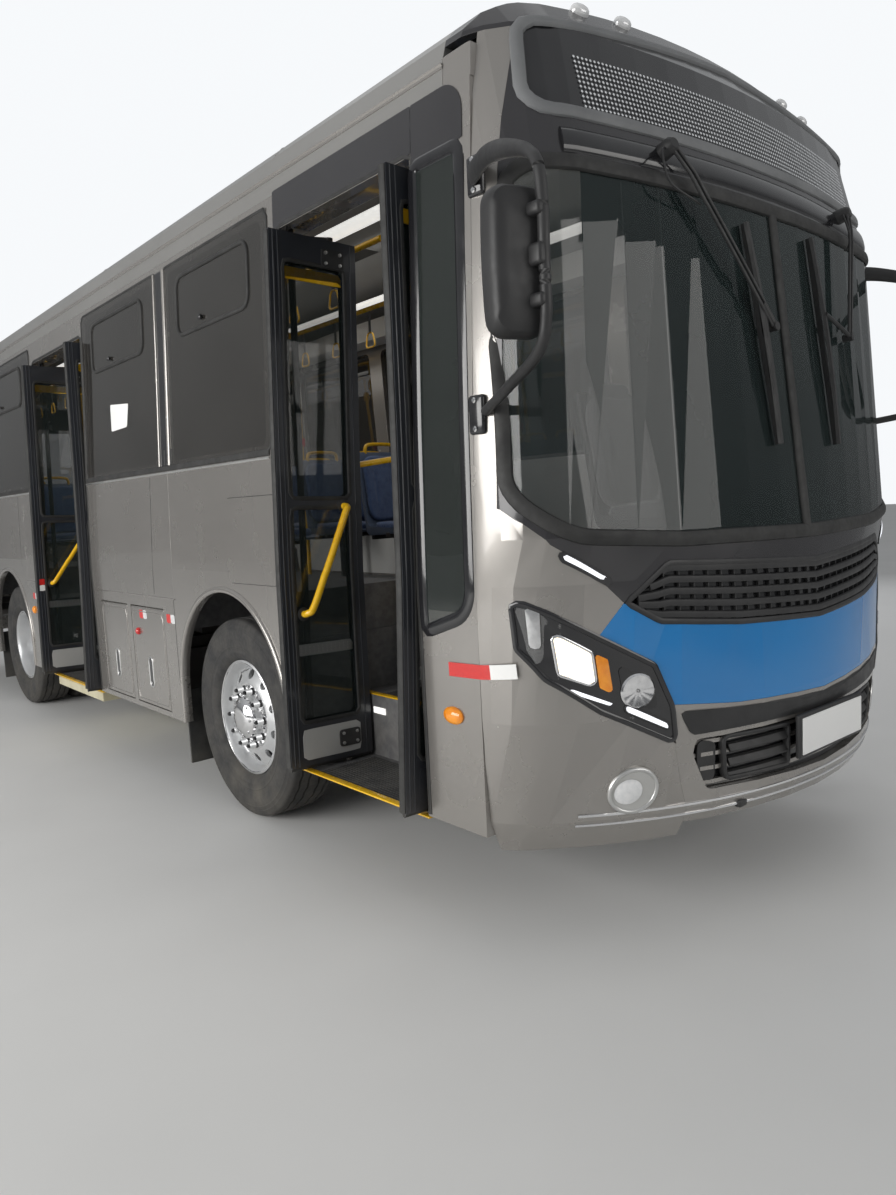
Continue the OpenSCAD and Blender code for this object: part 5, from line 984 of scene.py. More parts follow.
def sideMarker(name, y, z, r, place, mat, bodyName="body", tall=1.0):
    # Domed round or oval lens on a thin base: height falls with the square of the radius
    a = np.linspace(0, 2 * np.pi, 32, endpoint=False)
    rr = np.array([1.0, 1.0, 0.85, 0.6, 0.3, 0.02])[:, None]
    out = np.array([0.0, 0.006, 0.013, 0.018, 0.021, 0.022])[:, None]
    pts, _ = place(y + r * rr * np.cos(a), z + r * tall * rr * np.sin(a), out + 0 * a)
    faces = gridFaces(6, 32, wrapV=True) + [list(range(32))[::-1], [5 * 32 + k for k in range(32)]]
    addPiece(name, pts, faces, mat, bodyName)


sideMarker("marker_red_hatch", -0.86, 0.865, 0.022, onRight, "lampRed", "skirt_hatch_front")
sideMarker("marker_amber_front", -3.71, 0.80, 0.05, onRight, "lampAmber", tall=0.62)
sideMarker("marker_amber_rear", 1.3, 0.86, 0.03, onRight, "lampAmber")
sideMarker("marker_red_rear", 3.9, 0.86, 0.03, onRight, "lampRed")
for k, (y, mat) in enumerate(((-3.7, "lampAmber"), (-0.6, "lampAmber"), (1.25, "lampAmber"), (3.9, "lampRed"))):
    sideMarker("marker_left_%d" % k, y, 0.86, 0.03, onLeft, mat)

# Filler flap behind the front wheel arch: a thin raised panel with its gap
flapLine = rectLine(-2.56 + 0.0, -2.10, 1.20, 1.60, 0.012)
addPiece("filler_flap", *patchParts(flapLine, onRight, 0.0035, rings=4, depth=0.003, step=0.03), "silverPaint")
outlineBand("filler_flap_gap", flapLine, onRight, domeSection(0.007, 0.001, 0.003), "rubber", step=0.03)

# Wheel arch lips on both sides, and mud flaps behind the wheels
arch = dict(r=0.57, topZ=1.16, wide=0.032, high=0.012)
for tag, place, s in (("right", onRight, -1), ("left", onLeft, 1)):
    parts = []
    for y in (body["frontAxleY"], body["rearAxleY"]):
        zc = arch["topZ"] - arch["r"]
        a = np.linspace(0, np.pi, 60)
        yy = np.concatenate([[y + arch["r"]] * 5, y + arch["r"] * np.cos(a), [y - arch["r"]] * 5])
        zz = np.concatenate([np.linspace(0.405, zc - 0.02, 5), zc + arch["r"] * np.sin(a), np.linspace(zc - 0.02, 0.405, 5)])
        p, n = place(yy, zz)
        parts.append(bandParts(p, n, domeSection(arch["wide"], arch["high"], 0.02)))
    addPiece("arch_lips_" + tag, *merged(parts), "silverPaint")
    mud = [boxParts((s * 1.06, y + 0.63, 0.36), (0.30, 0.014, 0.42), 0.005) for y in (body["frontAxleY"], body["rearAxleY"])]
    addPiece("mud_flaps_" + tag, *merged(mud), "rubber")
print("sides made")

# Wheels: half a tyre section from the bead to the tread's middle, as radius and distance from the middle plane
tyreHalf = np.array([(0.2740, 0.0775), (0.2915, 0.0975), (0.300, 0.110), (0.312, 0.1212), (0.325, 0.1260), (0.333, 0.1294),
                     (0.338, 0.1296), (0.343, 0.1280), (0.360, 0.1310), (0.362, 0.1322), (0.366, 0.1322), (0.368, 0.1312),
                     (0.392, 0.1345), (0.412, 0.1362), (0.430, 0.1362), (0.445, 0.1345), (0.447, 0.1357), (0.452, 0.1350),
                     (0.454, 0.1333), (0.467, 0.1300), (0.469, 0.1308), (0.475, 0.1288), (0.477, 0.1272), (0.487, 0.1230),
                     (0.495, 0.1175), (0.4995, 0.1105), (0.5015, 0.1010), (0.5028, 0.0820), (0.4915, 0.0795), (0.4915, 0.0735),
                     (0.5036, 0.0710), (0.5044, 0.0350), (0.4922, 0.0325), (0.4922, 0.0265), (0.5048, 0.0240), (0.505, 0.0)])
wheel = dict(sides=144, zigzags=36, zig=0.0035, twin=0.315, trackHalf=1.06, nuts=10)


def onWheel(points, s, y, shift=0.0):
    # The wheel's own z axis points outwards on its side: x = s z, z = -s x
    p = np.asarray(points, dtype=float).reshape(-1, 3)
    return np.stack([s * (p[:, 2] + shift) + s * wheel["trackHalf"], p[:, 1] + y, body["axleZ"] - s * p[:, 0]], 1)


def tyreParts(shift):
    # Section turned about the axle; the tread's grooves swing sideways as a triangle wave of the angle
    section = np.vstack([tyreHalf, (tyreHalf * [1, -1])[-2::-1]])
    ring, faces = latheParts(section, wheel["sides"], True)
    turn = np.linspace(0, wheel["zigzags"], wheel["sides"], endpoint=False)
    wave = np.abs(turn % 1.0 - 0.5) * 4.0 - 1.0
    groove = ((section[:, 0] > 0.4905) & (np.abs(section[:, 1]) < 0.09) & (np.abs(section[:, 1]) > 0.01)).astype(float)
    ring[..., 2] += wheel["zig"] * groove[:, None] * wave[None]
    # Side flutes: a low cosine of the angle on the lower side wall
    flute = np.exp(-((section[:, 0] - 0.402) / 0.012) ** 2) * np.sign(section[:, 1])
    ring[..., 2] += 0.0009 * flute[:, None] * np.cos(np.linspace(0, 2 * np.pi * 72, wheel["sides"], endpoint=False))[None]
    return ring.reshape(-1, 3) + [0, 0, shift], faces


def ringOfParts(profile, count, radius, base, sides=14, start=0.5):
    # A turned shape set at even angles: shape + radius (cos, sin)
    pts, faces = latheParts(profile, sides)
    pts = pts.reshape(-1, 3)
    a = (np.arange(count) + start) * 2 * np.pi / count
    out = [(pts + [radius * math.cos(t), radius * math.sin(t), base], faces) for t in a]
    return merged(out)


nutCover = [(0.0001, 0.054), (0.006, 0.0535), (0.0095, 0.050), (0.0115, 0.040), (0.0145, 0.012), (0.0185, 0.008), (0.0205, 0.0),
            (0.0205, -0.006)]
rearNut = [(0.0001, 0.044), (0.008, 0.043), (0.0125, 0.038), (0.0145, 0.010), (0.0195, 0.006), (0.021, -0.004)]
for tag, s in (("right", -1), ("left", 1)):
    for end, y, twin in (("front", body["frontAxleY"], False), ("rear", body["rearAxleY"], True)):
        unitBody = ("front_wheel_" if not twin else "rear_wheels_") + tag
        tyreNode = ("front_tyre_" if not twin else "rear_tyres_") + tag
        rimNode = ("front_rim_" if not twin else "rear_rims_") + tag
        pts, faces = merged([tyreParts(0.0)] + ([tyreParts(-wheel["twin"])] if twin else []))
        tyrePiece = addPiece(tyreNode + "_treaded", onWheel(pts, s, y), faces, "tyreRubber", unitBody, angle=0.5)
        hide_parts(tyreNode)
        dress(rimNode, "rimSilver", 0.0, angle=28)
        # Chrome bead on the rim's flange: painted highlight along the flange's edge
        lip, lipFaces = latheParts([(0.2795 + 0.0042 * math.cos(t), 0.1045 + 0.0042 * math.sin(t)) for t in np.linspace(0, 2 * np.pi, 9)[:-1]],
                                   96, True)
        addPiece(rimNode + "_lip", onWheel(lip, s, y), lipFaces, "chrome", unitBody)
        nutR, nutZ = (0.160, -0.130) if twin else (0.142, 0.0885)
        addPiece(rimNode + "_nut_covers", onWheel(ringOfParts(rearNut if twin else nutCover, 10, nutR, nutZ)[0], s, y),
                 ringOfParts(rearNut if twin else nutCover, 10, nutR, nutZ)[1], "glossBlack", unitBody)
        # Bright ring under the nuts with a raised block between each pair of them
        ringZ = nutZ - 0.0005
        ring, ringFaces = latheParts([(nutR - 0.03, ringZ - 0.003), (nutR - 0.028, ringZ + 0.002), (nutR + 0.027, ringZ + 0.002),
                                      (nutR + 0.03, ringZ - 0.003)], 72)
        blocks = []
        for k in range(wheel["nuts"]):
            a = math.degrees(2 * math.pi * k / wheel["nuts"])
            blocks.append(boxParts((0, 0, 0), (0.040, 0.024, 0.013), 0.004, 2, turnAbout("Z", a)))
            blocks[-1] = (blocks[-1][0] + np.array([nutR * math.cos(math.radians(a)), nutR * math.sin(math.radians(a)), ringZ + 0.004]),
                          blocks[-1][1])
        parts = merged([(ring.reshape(-1, 3), ringFaces)] + [(b.reshape(-1, 3), f) for b, f in blocks])
        addPiece(rimNode + "_bright_ring", onWheel(parts[0], s, y), parts[1], "chrome", unitBody)
        # Hub cap, turned: flange, waist and dome
        if twin:
            cap = [(0.114, -0.02), (0.116, 0.006), (0.112, 0.0125), (0.074, 0.031), (0.070, 0.034), (0.03, 0.0365), (0.0001, 0.037)]
        else:
            cap = [(0.104, 0.10), (0.1045, 0.1275), (0.101, 0.132), (0.064, 0.1462), (0.058, 0.1492), (0.03, 0.1508), (0.0001, 0.151)]
        capPart = latheParts(cap, 64)
        addPiece(rimNode + "_hub_cap", onWheel(capPart[0], s, y), capPart[1], "chrome", unitBody)
        bolts = ringOfParts([(0.0001, 0.006), (0.0055, 0.006), (0.0062, 0.003), (0.0062, -0.004)], 8, 0.088, cap[3][1] - 0.008, 8, 0.0)
        addPiece(rimNode + "_hub_bolts", onWheel(bolts[0], s, y), bolts[1], "rimSilver", unitBody)
        valve = smoothPath([(0.236, 0.03, nutZ - 0.03), (0.232, 0.03, nutZ + 0.0), (0.222, 0.028, nutZ + 0.02)], 10)
        valvePart = tubeParts(valve, 0.0045, 8, up=(0, 1, 0))
        addPiece(rimNode + "_valve", onWheel(valvePart[0], s, y), valvePart[1], "chrome", unitBody)
print("wheels made")

# Doors. A leaf's fittings are laid out closed, in the wall's curve, then swung open with the same link as the CAD's
leaf = dict(thick=0.04, gap=0.012, meet=0.012, proud=0.08, postOut=0.02, postDepth=0.075, stand=0.0495, stile=0.06,
            zFoot=0.415, zTop=2.676, zMid=1.56, panes=((0.605, 1.54), (1.58, 2.566)))
leafTilt = math.atan(0.0655 / 2.3)
doorTurn = turnAbout("Y", math.degrees(leafTilt))


def leafSetup(door, s):
    # Width, reach, pivot's distance in and the pivot's closed and open places, from the door's width and its edge
    edge = door["front"] if s > 0 else door["back"]
    wide = door["width"] / 2 - leaf["gap"] - leaf["meet"]
    reach = wide - leaf["proud"]
    r, q = reach - leaf["postDepth"], leaf["gap"] + leaf["postOut"]
    e, d = leaf["stand"] + leaf["postOut"], leaf["postDepth"] - leaf["thick"] / 2
    pivot = (r * r + e * e - d * d - q * q) / (2 * (r + q))
    closed = np.array([leaf["thick"] / 2, edge + s * (leaf["gap"] + pivot), 0.0])
    opened = np.array([reach - pivot, edge + s * leaf["stand"], 0.0])
    y0 = edge + leaf["gap"] if s > 0 else edge - leaf["gap"] - wide
    return dict(edge=edge, wide=wide, pivot=pivot, closed=closed, opened=opened, y0=y0, s=s)


def swingOpen(points, m):
    # Into the door's leaning frame, turned by 90 degrees about the pivot, moved to its open place and back
    foot = np.array([-body["sideX"], 0.0, body["skirtZ"]])
    q = (np.asarray(points, dtype=float).reshape(-1, 3) - foot) @ doorTurn - m["closed"]
    return (q @ turnAbout("Z", 90 * m["s"]).T + m["opened"]) @ doorTurn.T + foot


def islands(mesh):
    # Number of the loose part that each vertex belongs to: the lowest index is passed on along the edges
    edges = np.empty(len(mesh.edges) * 2, dtype=np.int64)
    mesh.edges.foreach_get("vertices", edges)
    a, b = edges.reshape(-1, 2).T
    label = np.arange(len(mesh.vertices))
    while True:
        low = label.copy()
        np.minimum.at(low, a, label[b])
        np.minimum.at(low, b, label[a])
        low = low[low]
        if (low == label).all():
            return label
        label = low


def glazed(node, mat, glass, bevel):
    # The largest loose part of the node is its frame; the others are its panes
    obj = dress(node, mat, bevel)
    mesh = obj.data
    mesh.materials.append(mats[glass])
    label = islands(mesh)
    first = np.array([p.vertices[0] for p in mesh.polygons])
    names, counts = np.unique(label, return_counts=True)
    frameLabel = names[np.argmax(counts)]
    mesh.polygons.foreach_set("material_index", (label[first] != frameLabel).astype(np.int32))
    return obj


for doorName, door in (("front", frontDoor), ("mid", midDoor)):
    for end, s in (("a", 1), ("b", -1)):
        m = leafSetup(door, s)
        node = "%s_door_leaf_%s" % (doorName, end)
        glazed(node, "doorBlack", "doorGlass", 0.002)
        dress("%s_door_post_%s" % (doorName, end), "chassisBlack", 0.0015)
        out = lambda u, z, lift=0.0: onRight(m["y0"] + m["wide"] - np.asarray(u) if s > 0 else m["y0"] + np.asarray(u), z, lift)

        def inner(u, z, lift=0.0):
            # Leaf's inner face: the outer one moved in by the thickness, with its normal turned round
            p, n = out(u, z, -leaf["thick"] - np.asarray(lift))
            return p, -n

        def add(suffix, parts, mat, **kw):
            pts, faces = merged(parts)
            return addPiece(node + suffix, swingOpen(pts, m), faces, mat, node, **kw)

        w = m["wide"]
        z = np.linspace(leaf["zFoot"] + 0.004, leaf["zTop"] - 0.004, 26)
        mid, _ = out(0 * z, z, -leaf["thick"] / 2)
        away = np.tile([0.0, float(s), 0.0], (len(z), 1))
        add("_meeting_rubber", [bandParts(mid, away, [(-0.017, -0.002), (0.017, -0.002), (0.016, 0.004), (0.007, 0.0095), (-0.007, 0.0095),
                                                      (-0.016, 0.004)])], "rubber")
        mid, _ = out(w + 0 * z, z, -leaf["thick"] / 2)
        add("_back_rubber", [bandParts(mid, -away, domeSection(0.03, 0.006, 0.002))], "rubber")
        u = np.linspace(0.004, w - 0.004, 14)
        low, _ = out(u, leaf["zFoot"] + 0 * u, -leaf["thick"] / 2)
        add("_foot_brush", [bandParts(low, np.tile([0.0, 0.0, -1.0], (len(u), 1)), domeSection(0.024, 0.018, 0.002))], "rubber")
        seals, sheets = [], []
        for z0, z1 in leaf["panes"]:
            line = spaced(rectLine(leaf["stile"], w - leaf["stile"], z0, z1, 0.025, 6), 0.03)
            for face in (out, inner):
                p, n = face(line[:, 0], line[:, 1])
                seals.append(bandParts(p, n, domeSection(0.018, 0.004, 0.004, 3), True))
        add("_pane_seals", seals, "rubber")
        ribs = []
        for face in (out, inner):
            for ru in (0.018, 0.040, w - 0.03):
                p, n = face(ru + 0 * z, z)
                ribs.append(bandParts(p, n, domeSection(0.007, 0.003, 0.002, 3)))
        add("_stile_ribs", ribs, "doorBlack")
        # Bands stuck on the panes: a light dotted one low down and a yellow one under the top edge
        def paneBand(z0, z1, lifts, step):
            line = rectLine(leaf["stile"] + 0.006, w - leaf["stile"] - 0.006, z0, z1, 0.004, 3)
            return [patchParts(line, out, lift, rings=2, depth=0.0004, step=step) for lift in lifts]
        add("_pane_band", paneBand(0.895, 0.945, (-0.0134, -0.0193), 0.03), "whitePaper")
        add("_pane_top_band", paneBand(2.495, 2.545, (-0.0134, -0.0193), 0.03), "yellowPaint")
        dots = []
        for du in np.arange(leaf["stile"] + 0.03, w - leaf["stile"] - 0.02, 0.022):
            for dz in (0.908, 0.92, 0.932):
                c, n = inner(np.array([du, du]), np.array([dz, dz]), np.array([-0.0196, -0.0186]))
                dots.append(tubeParts(c, 0.0035, 8, up=(0, 0, 1)))
        add("_pane_dots", dots, "aluminium")
        # Diagonal handle on the inner face, its feet, and the hinge brackets with four bolts each
        grip = np.array([(w - 0.10, 1.545, 0.0), (w - 0.102, 1.54, 0.035), (w - 0.125, 1.51, 0.052), (w * 0.5, 1.31, 0.055),
                         (0.125, 1.115, 0.052), (0.102, 1.085, 0.035), (0.10, 1.08, 0.0)])
        curve = smoothPath(grip, 46)
        p, _ = inner(curve[:, 0], curve[:, 1], curve[:, 2])
        add("_handle", [tubeParts(p, 0.0155, 12, up=(1, 0, 0))], "yellowPaint")
        feet = []
        for fu, fz in ((w - 0.10, 1.545), (0.10, 1.08)):
            p, _ = inner(np.full(3, fu), np.full(3, fz), np.array([0.0, 0.005, 0.008]))
            feet.append(tubeParts(p, np.array([0.03, 0.029, 0.022]), 18, up=(1, 0, 0)))
        add("_handle_feet", feet, "trimBlack")
        plates, bolts = [], []
        pu = w - m["pivot"]
        for bz in (0.505, 2.6):
            line = rectLine(pu - 0.055, pu + 0.055, bz - 0.038, bz + 0.038, 0.012, 4)
            plates.append(patchParts(line, inner, 0.007, rings=3, depth=0.007, step=0.012))
            for du in (-0.036, 0.036):
                for dz in (-0.022, 0.022):
                    p, _ = inner(np.full(3, pu + du), np.full(3, bz + dz), np.array([0.006, 0.012, 0.0135]))
                    bolts.append(tubeParts(p, np.array([0.0075, 0.0075, 0.005]), 10, up=(1, 0, 0)))
        add("_brackets", plates, "trimBlack")
        add("_bracket_bolts", bolts, "aluminium")
        kick = rectLine(0.062, w - 0.062, 0.44, 0.575, 0.015, 4)
        add("_kick_plates", [patchParts(kick, out, 0.002, rings=3, depth=0.002, step=0.03)], "doorBlack")
        add("_inner_kick_plate", [patchParts(kick, inner, 0.002, rings=3, depth=0.002, step=0.03)],
            "whitePanel" if (doorName, end) == ("front", "a") else "innerGrey")
        if (doorName, end) == ("mid", "b"):
            add("_reflex_red", [patchParts(rectLine(0.012, 0.048, 1.07, 1.115, 0.002, 2), inner, 0.004, rings=2, depth=0.002)], "redBand")
            add("_reflex_white", [patchParts(rectLine(0.012, 0.048, 1.025, 1.07, 0.002, 2), inner, 0.004, rings=2, depth=0.002)],
                "whitePaper")

# Rubber round each opening, sills, step noses and ribbed step mats
for doorName, door in (("front", frontDoor), ("mid", midDoor)):
    y0, y1 = door["front"], door["back"]
    path = np.array([(y0 - 0.012, 0.41), (y0 - 0.012, 2.712), (y1 + 0.012, 2.712), (y1 + 0.012, 0.41)])
    outlineBand(doorName + "_door_surround", path, onRight, domeSection(0.018, 0.004, 0.004), "rubber", closed=False, step=0.06)
    mid, span = (y0 + y1) / 2, y1 - y0
    innerX = -body["sideX"] + door["width"] / 2 - leaf["gap"] - leaf["meet"] - leaf["proud"] + 0.02
    noses = [boxParts((-1.2285, mid, 0.388), (0.034, span - 0.01, 0.0075), 0.003),
             boxParts((innerX + 0.017, mid, 0.6705), (0.034, span + 0.06, 0.006), 0.0025),
             boxParts((innerX + 0.24 + 0.030, mid, 0.953), (0.034, span + 0.04, 0.006), 0.0025)]
    addPiece(doorName + "_step_noses", *merged([(p.reshape(-1, 3), f) for p, f in noses]), "yellowPaint")
    ribs = []
    for x0, x1, zz in ((-1.20, innerX - 0.02, 0.386), (innerX + 0.045, innerX + 0.225, 0.6685)):
        x = np.arange(x0, x1, 0.0165)
        yy = np.linspace(y0 + 0.10, y1 - 0.10, 2)
        for xc in x:
            line = np.stack([np.full(2, xc), yy, np.full(2, zz)], 1)
            ribs.append(bandParts(line, np.tile([0.0, 0.0, 1.0], (2, 1)), domeSection(0.010, 0.0022, 0.001, 2)))
    addPiece(doorName + "_step_mats", *merged(ribs), "rubber", smooth=False)
    lamp = [boxParts((innerX - 0.004, y, 0.60), (0.006, 0.09, 0.03), 0.0025) for y in (y0 + 0.12, y1 - 0.12)]
    addPiece(doorName + "_step_lamps", *merged([(p.reshape(-1, 3), f) for p, f in lamp]), "cabinLamp")
dress("lift_platform", "stepCream", 0.004)
edgeBar = boxParts((-1.2215, 0.44, 0.3435), (0.014, 0.94, 0.052), 0.005)
addPiece("lift_edge", edgeBar[0].reshape(-1, 3), edgeBar[1], "yellowPaint")
print("doors and steps made")

# Cabin. Seats are padded forms laid in code: a closed pillow over a rounded rectangle, with its sides drawn in
seats = dict(rows=[(1, 0.76, 3), (-1, 0.79, 2), (1, 4.7, 2), (-1, 4.7, 2)], wide=0.86, pitch=0.76, inset=0.032, floorX=1.2047,
             floorZ=0.95)


def pillowParts(size, crown, pull, seams, at, tilt):
    # Rings go from the under side's middle over the edge to the top's middle; the top rises by crown (1 - r^2),
    # sides come in by pull between corners, and each seam sinks the top by a narrow bell curve
    wide, deep, high = size
    a = np.linspace(0, 2 * np.pi, 88, endpoint=False)
    square = 1.0 / (np.abs(np.cos(a)) ** 5 + np.abs(np.sin(a)) ** 5) ** 0.2
    square = square * (1 - pull * np.cos(2 * a) ** 2)
    r = np.concatenate([np.linspace(0.02, 0.9, 5), [0.955, 0.985, 1.0, 1.0, 0.985, 0.955], np.linspace(0.92, 0.02, 20)])
    h = np.concatenate([np.zeros(5), [0.04, 0.18, 0.38, 0.62, 0.82, 0.96], np.ones(20)])
    x, y = r[:, None] * square * np.cos(a), r[:, None] * square * np.sin(a)
    top = (np.arange(len(r)) > 8)[:, None]
    z = h[:, None] * high + top * crown * (1 - np.clip(x, -1, 1) ** 2) * (1 - np.clip(y, -1, 1) ** 2)
    for axisX, place, depth in seams:
        z -= top * depth * np.exp(-(((x if axisX else y) - place) / 0.028) ** 2)
    pts = np.stack([x * wide / 2, y * deep / 2, z], -1).reshape(-1, 3) @ turnAbout("X", tilt).T + np.asarray(at)
    n = len(a)
    return pts, gridFaces(len(r), n, wrapV=True) + [list(range(n))[::-1], [(len(r) - 1) * n + k for k in range(n)]]


def slabParts(outline, x0, x1, radius=0.008):
    # Side outline of (y, z, radius) carried across x with eased ends: the end rings are drawn in by the radius
    line = spaced(roundedOutline(outline, 6), 0.02)
    mid = line.mean(0)
    rings = []
    for x, k in ((x0, 1), (x0 + radius * 0.3, 0.3), (x0 + radius, 0), (x1 - radius, 0), (x1 - radius * 0.3, 0.3), (x1, 1)):
        d = mid - line
        rings.append(np.column_stack([np.full(len(line), x), line + unit(d) * radius * k]))
    n = len(line)
    return np.stack(rings), gridFaces(6, n, wrapV=True) + [list(range(n))[::-1], [5 * n + k for k in range(n)]]


shellLine = [(-0.225, 0.402, 0.012), (0.205, 0.382, 0.05), (0.295, 0.955, 0.012), (0.272, 0.962, 0.01), (0.187, 0.44, 0.03),
             (-0.222, 0.424, 0.01)]
pads, backs, shells, legs, grips = [], [], [], [], []
for side, first, count in seats["rows"]:
    x0 = seats["floorX"] - seats["wide"] - seats["inset"] if side > 0 else -seats["floorX"] + seats["inset"]
    for i in range(count):
        base = np.array([x0, body["frontAxleY"] + first + i * seats["pitch"], seats["floorZ"]])
        for half in (0, 1):
            cx = base[0] + half * (seats["wide"] / 2 + 0.005) + 0.2125
            at = np.array([cx, base[1] - 0.02, base[2] + 0.424])
            pads.append(pillowParts((0.40, 0.375, 0.045), 0.012, 0.035, [(True, -0.62, 0.004), (True, 0.62, 0.004), (False, 0.55, 0.003)],
                                    at, 1.5))
            at = np.array([cx, base[1] + 0.2245, base[2] + 0.705])
            backs.append(pillowParts((0.395, 0.46, 0.036), 0.012, 0.03, [(True, -0.62, 0.004), (True, 0.62, 0.004), (False, 0.62, 0.004)],
                                     at, 81.5))
            p, f = slabParts(shellLine, -0.2125, 0.2125)
            shells.append((p + np.array([cx, base[1], base[2]]), f))
            loop = smoothPath([(-0.13, 0.284, 0.925), (-0.13, 0.282, 0.985), (-0.09, 0.281, 1.012), (0.09, 0.281, 1.012),
                               (0.13, 0.282, 0.985), (0.13, 0.284, 0.925)], 30)
            p, f = tubeParts(loop + np.array([cx, base[1], base[2]]), 0.0125, 10, up=(0, 1, 0))
            grips.append((p, f))
        mid = base[0] + seats["wide"] / 2
        legs.append(boxParts((mid, base[1] - 0.04, base[2] + 0.388), (seats["wide"] + 0.01, 0.038, 0.034), 0.006))
        legs.append(boxParts((mid, base[1] + 0.15, base[2] + 0.372), (seats["wide"] - 0.02, 0.03, 0.03), 0.006))
        for lx in (0.14, seats["wide"] - 0.14):
            legs.append(boxParts((base[0] + lx, base[1] - 0.04, base[2] + 0.195), (0.038, 0.038, 0.385), 0.008))
            legs.append(boxParts((base[0] + lx, base[1] - 0.04, base[2] + 0.006), (0.10, 0.12, 0.010), 0.003))
cushions = addPiece("passenger_seat_cushions", *merged(pads), "seatCloth", angle=1.2)
seatBacks = addPiece("passenger_seat_backs", *merged(backs), "seatCloth", angle=1.2)
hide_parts("passenger_seats")
addPiece("passenger_seat_shells", *merged(shells), "seatShell")
addPiece("passenger_seat_frames", *merged(legs), "chassisBlack")
addPiece("passenger_seat_grips", *merged(grips), "yellowPaint")

# Driver's seat: two pillows with side bolsters' seams, head rest, pedestal and bellows
drive = dict(x=0.64, y=-3.22, z=0.95)
driverAt = lambda dx, dy, dz: (drive["x"] + dx, drive["y"] + dy, drive["z"] + dz)
driverPad = addPiece("driver_seat_cushion", *pillowParts((0.49, 0.45, 0.085), 0.022, 0.05, [(True, -0.6, 0.01), (True, 0.6, 0.01),
                     (False, 0.3, 0.006)], driverAt(0, -0.03, 0.44), -2), "driverCloth", angle=1.2)
driverBack = addPiece("driver_seat_back", *pillowParts((0.47, 0.60, 0.075), 0.02, 0.05, [(True, -0.6, 0.01), (True, 0.6, 0.01),
                      (False, -0.2, 0.006), (False, 0.5, 0.006)], driverAt(0, 0.27, 0.80), 80), "driverCloth", angle=1.2)
driverHead = addPiece("driver_seat_head", *pillowParts((0.28, 0.16, 0.07), 0.012, 0.05, [], driverAt(0, 0.345, 1.085), 80),
                      "driverCloth", angle=1.2)
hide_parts("driver_seat")
driverShell = slabParts([(-0.23, 0.405, 0.02), (0.24, 0.395, 0.06), (0.36, 1.12, 0.03), (0.33, 1.13, 0.02), (0.215, 0.46, 0.04),
                         (-0.23, 0.438, 0.02)], -0.235, 0.235, 0.02)
addPiece("driver_seat_shell", driverShell[0] + np.array(driverAt(0, 0, 0)), driverShell[1], "trimBlack")
folds = np.stack([0.17 + 0.016 * np.cos(np.linspace(0, 2 * np.pi * 7, 57)), np.linspace(0.06, 0.40, 57)], 1)
bellows = latheParts(np.vstack([[(0.001, 0.05)], folds, [(0.001, 0.405)]]), 40)
addPiece("driver_seat_bellows", bellows[0].reshape(-1, 3) * [0.85, 0.85, 1] + np.array(driverAt(0, 0, 0)), bellows[1], "rubber")
addPiece("driver_seat_base", *boxParts(driverAt(0, 0, 0.032), (0.34, 0.34, 0.055), 0.01), "chassisBlack")

# Steering wheel: rim, four spokes that dish down to the hub, and the column's cowl, in the wheel's leaning plane
wheelAt, lean = np.array([0.64, -3.62, 1.68]), turnAbout("X", -25)
a = np.linspace(0, 2 * np.pi, 72, endpoint=False)
rim = tubeParts(np.stack([0.235 * np.cos(a), 0.235 * np.sin(a), 0 * a], 1), 0.0135, 12, closed=True)
parts = [rim, latheParts([(0.001, 0.026), (0.04, 0.025), (0.058, 0.016), (0.062, 0.0), (0.05, -0.012), (0.001, -0.014)], 40)]
for k in range(4):
    spoke = np.linspace([0.05, 0, 0.004], [0.228, 0, 0.0], 10) - np.array([0, 0, 1]) * (0.02 * np.sin(np.linspace(0, np.pi, 10)))[:, None]
    p, f = bandParts(spoke, np.tile([0.0, 0.0, 1.0], (10, 1)), domeSection(0.028, 0.008, 0.006))
    parts.append((p @ turnAbout("Z", 45 + 90 * k).T, f))
pts, faces = merged(parts)
steering = addPiece("steering_wheel_finished", pts @ lean.T + wheelAt, faces, "trimBlack")
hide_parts("steering_wheel")
cowl = latheParts([(0.03, -0.02), (0.05, -0.03), (0.06, -0.12), (0.075, -0.3), (0.08, -0.36)], 32)
addPiece("steering_cowl", cowl[0].reshape(-1, 3) @ lean.T + wheelAt, cowl[1], "trimBlack")
binnacle = boxParts((0.64, -3.835, 1.46), (0.46, 0.14, 0.11), 0.035, 4, turnAbout("X", 25))
addPiece("binnacle", *binnacle, "trimBlack")
dials = []
for dx, r in ((-0.13, 0.04), (-0.035, 0.034), (0.035, 0.034), (0.13, 0.04)):
    p, f = latheParts([(0.001, 0.002), (r - 0.004, 0.002), (r, 0.006), (r + 0.004, 0.0)], 28)
    dials.append((p.reshape(-1, 3) @ turnAbout("X", -65).T + np.array([0.64 + dx, -3.763, 1.49]), f))
addPiece("dials", *merged(dials), "aluminium")

# Linings: wall panels under the windows, sheets of light grey that keep clear of the door openings
# Their foot is at the floor and rises over each wheel arch, so that a steered tyre has its room
linings = []
lining = dict(foot=0.965, overArch=1.18, archHalf=0.58, top=1.80, deep=0.0475, step=0.05)
for place, runs in ((onRight, [(-2.60, -0.16), (1.04, 4.16)]), (onLeft, [(-3.8, 4.16)])):
    for ya, yb in runs:
        n = int((yb - ya) / lining["step"])
        y = np.linspace(ya, yb, n)
        atArch = np.minimum(np.abs(y - body["frontAxleY"]), np.abs(y - body["rearAxleY"])) < lining["archHalf"]
        foot = np.where(atArch, lining["overArch"], lining["foot"])
        z = foot + (lining["top"] - foot) * np.linspace(0, 1, 8)[:, None]
        p, _ = place(y + 0 * z, z, -lining["deep"])
        linings.append((p, gridFaces(8, n)))
addPiece("wall_linings", *merged(linings), "innerGrey")
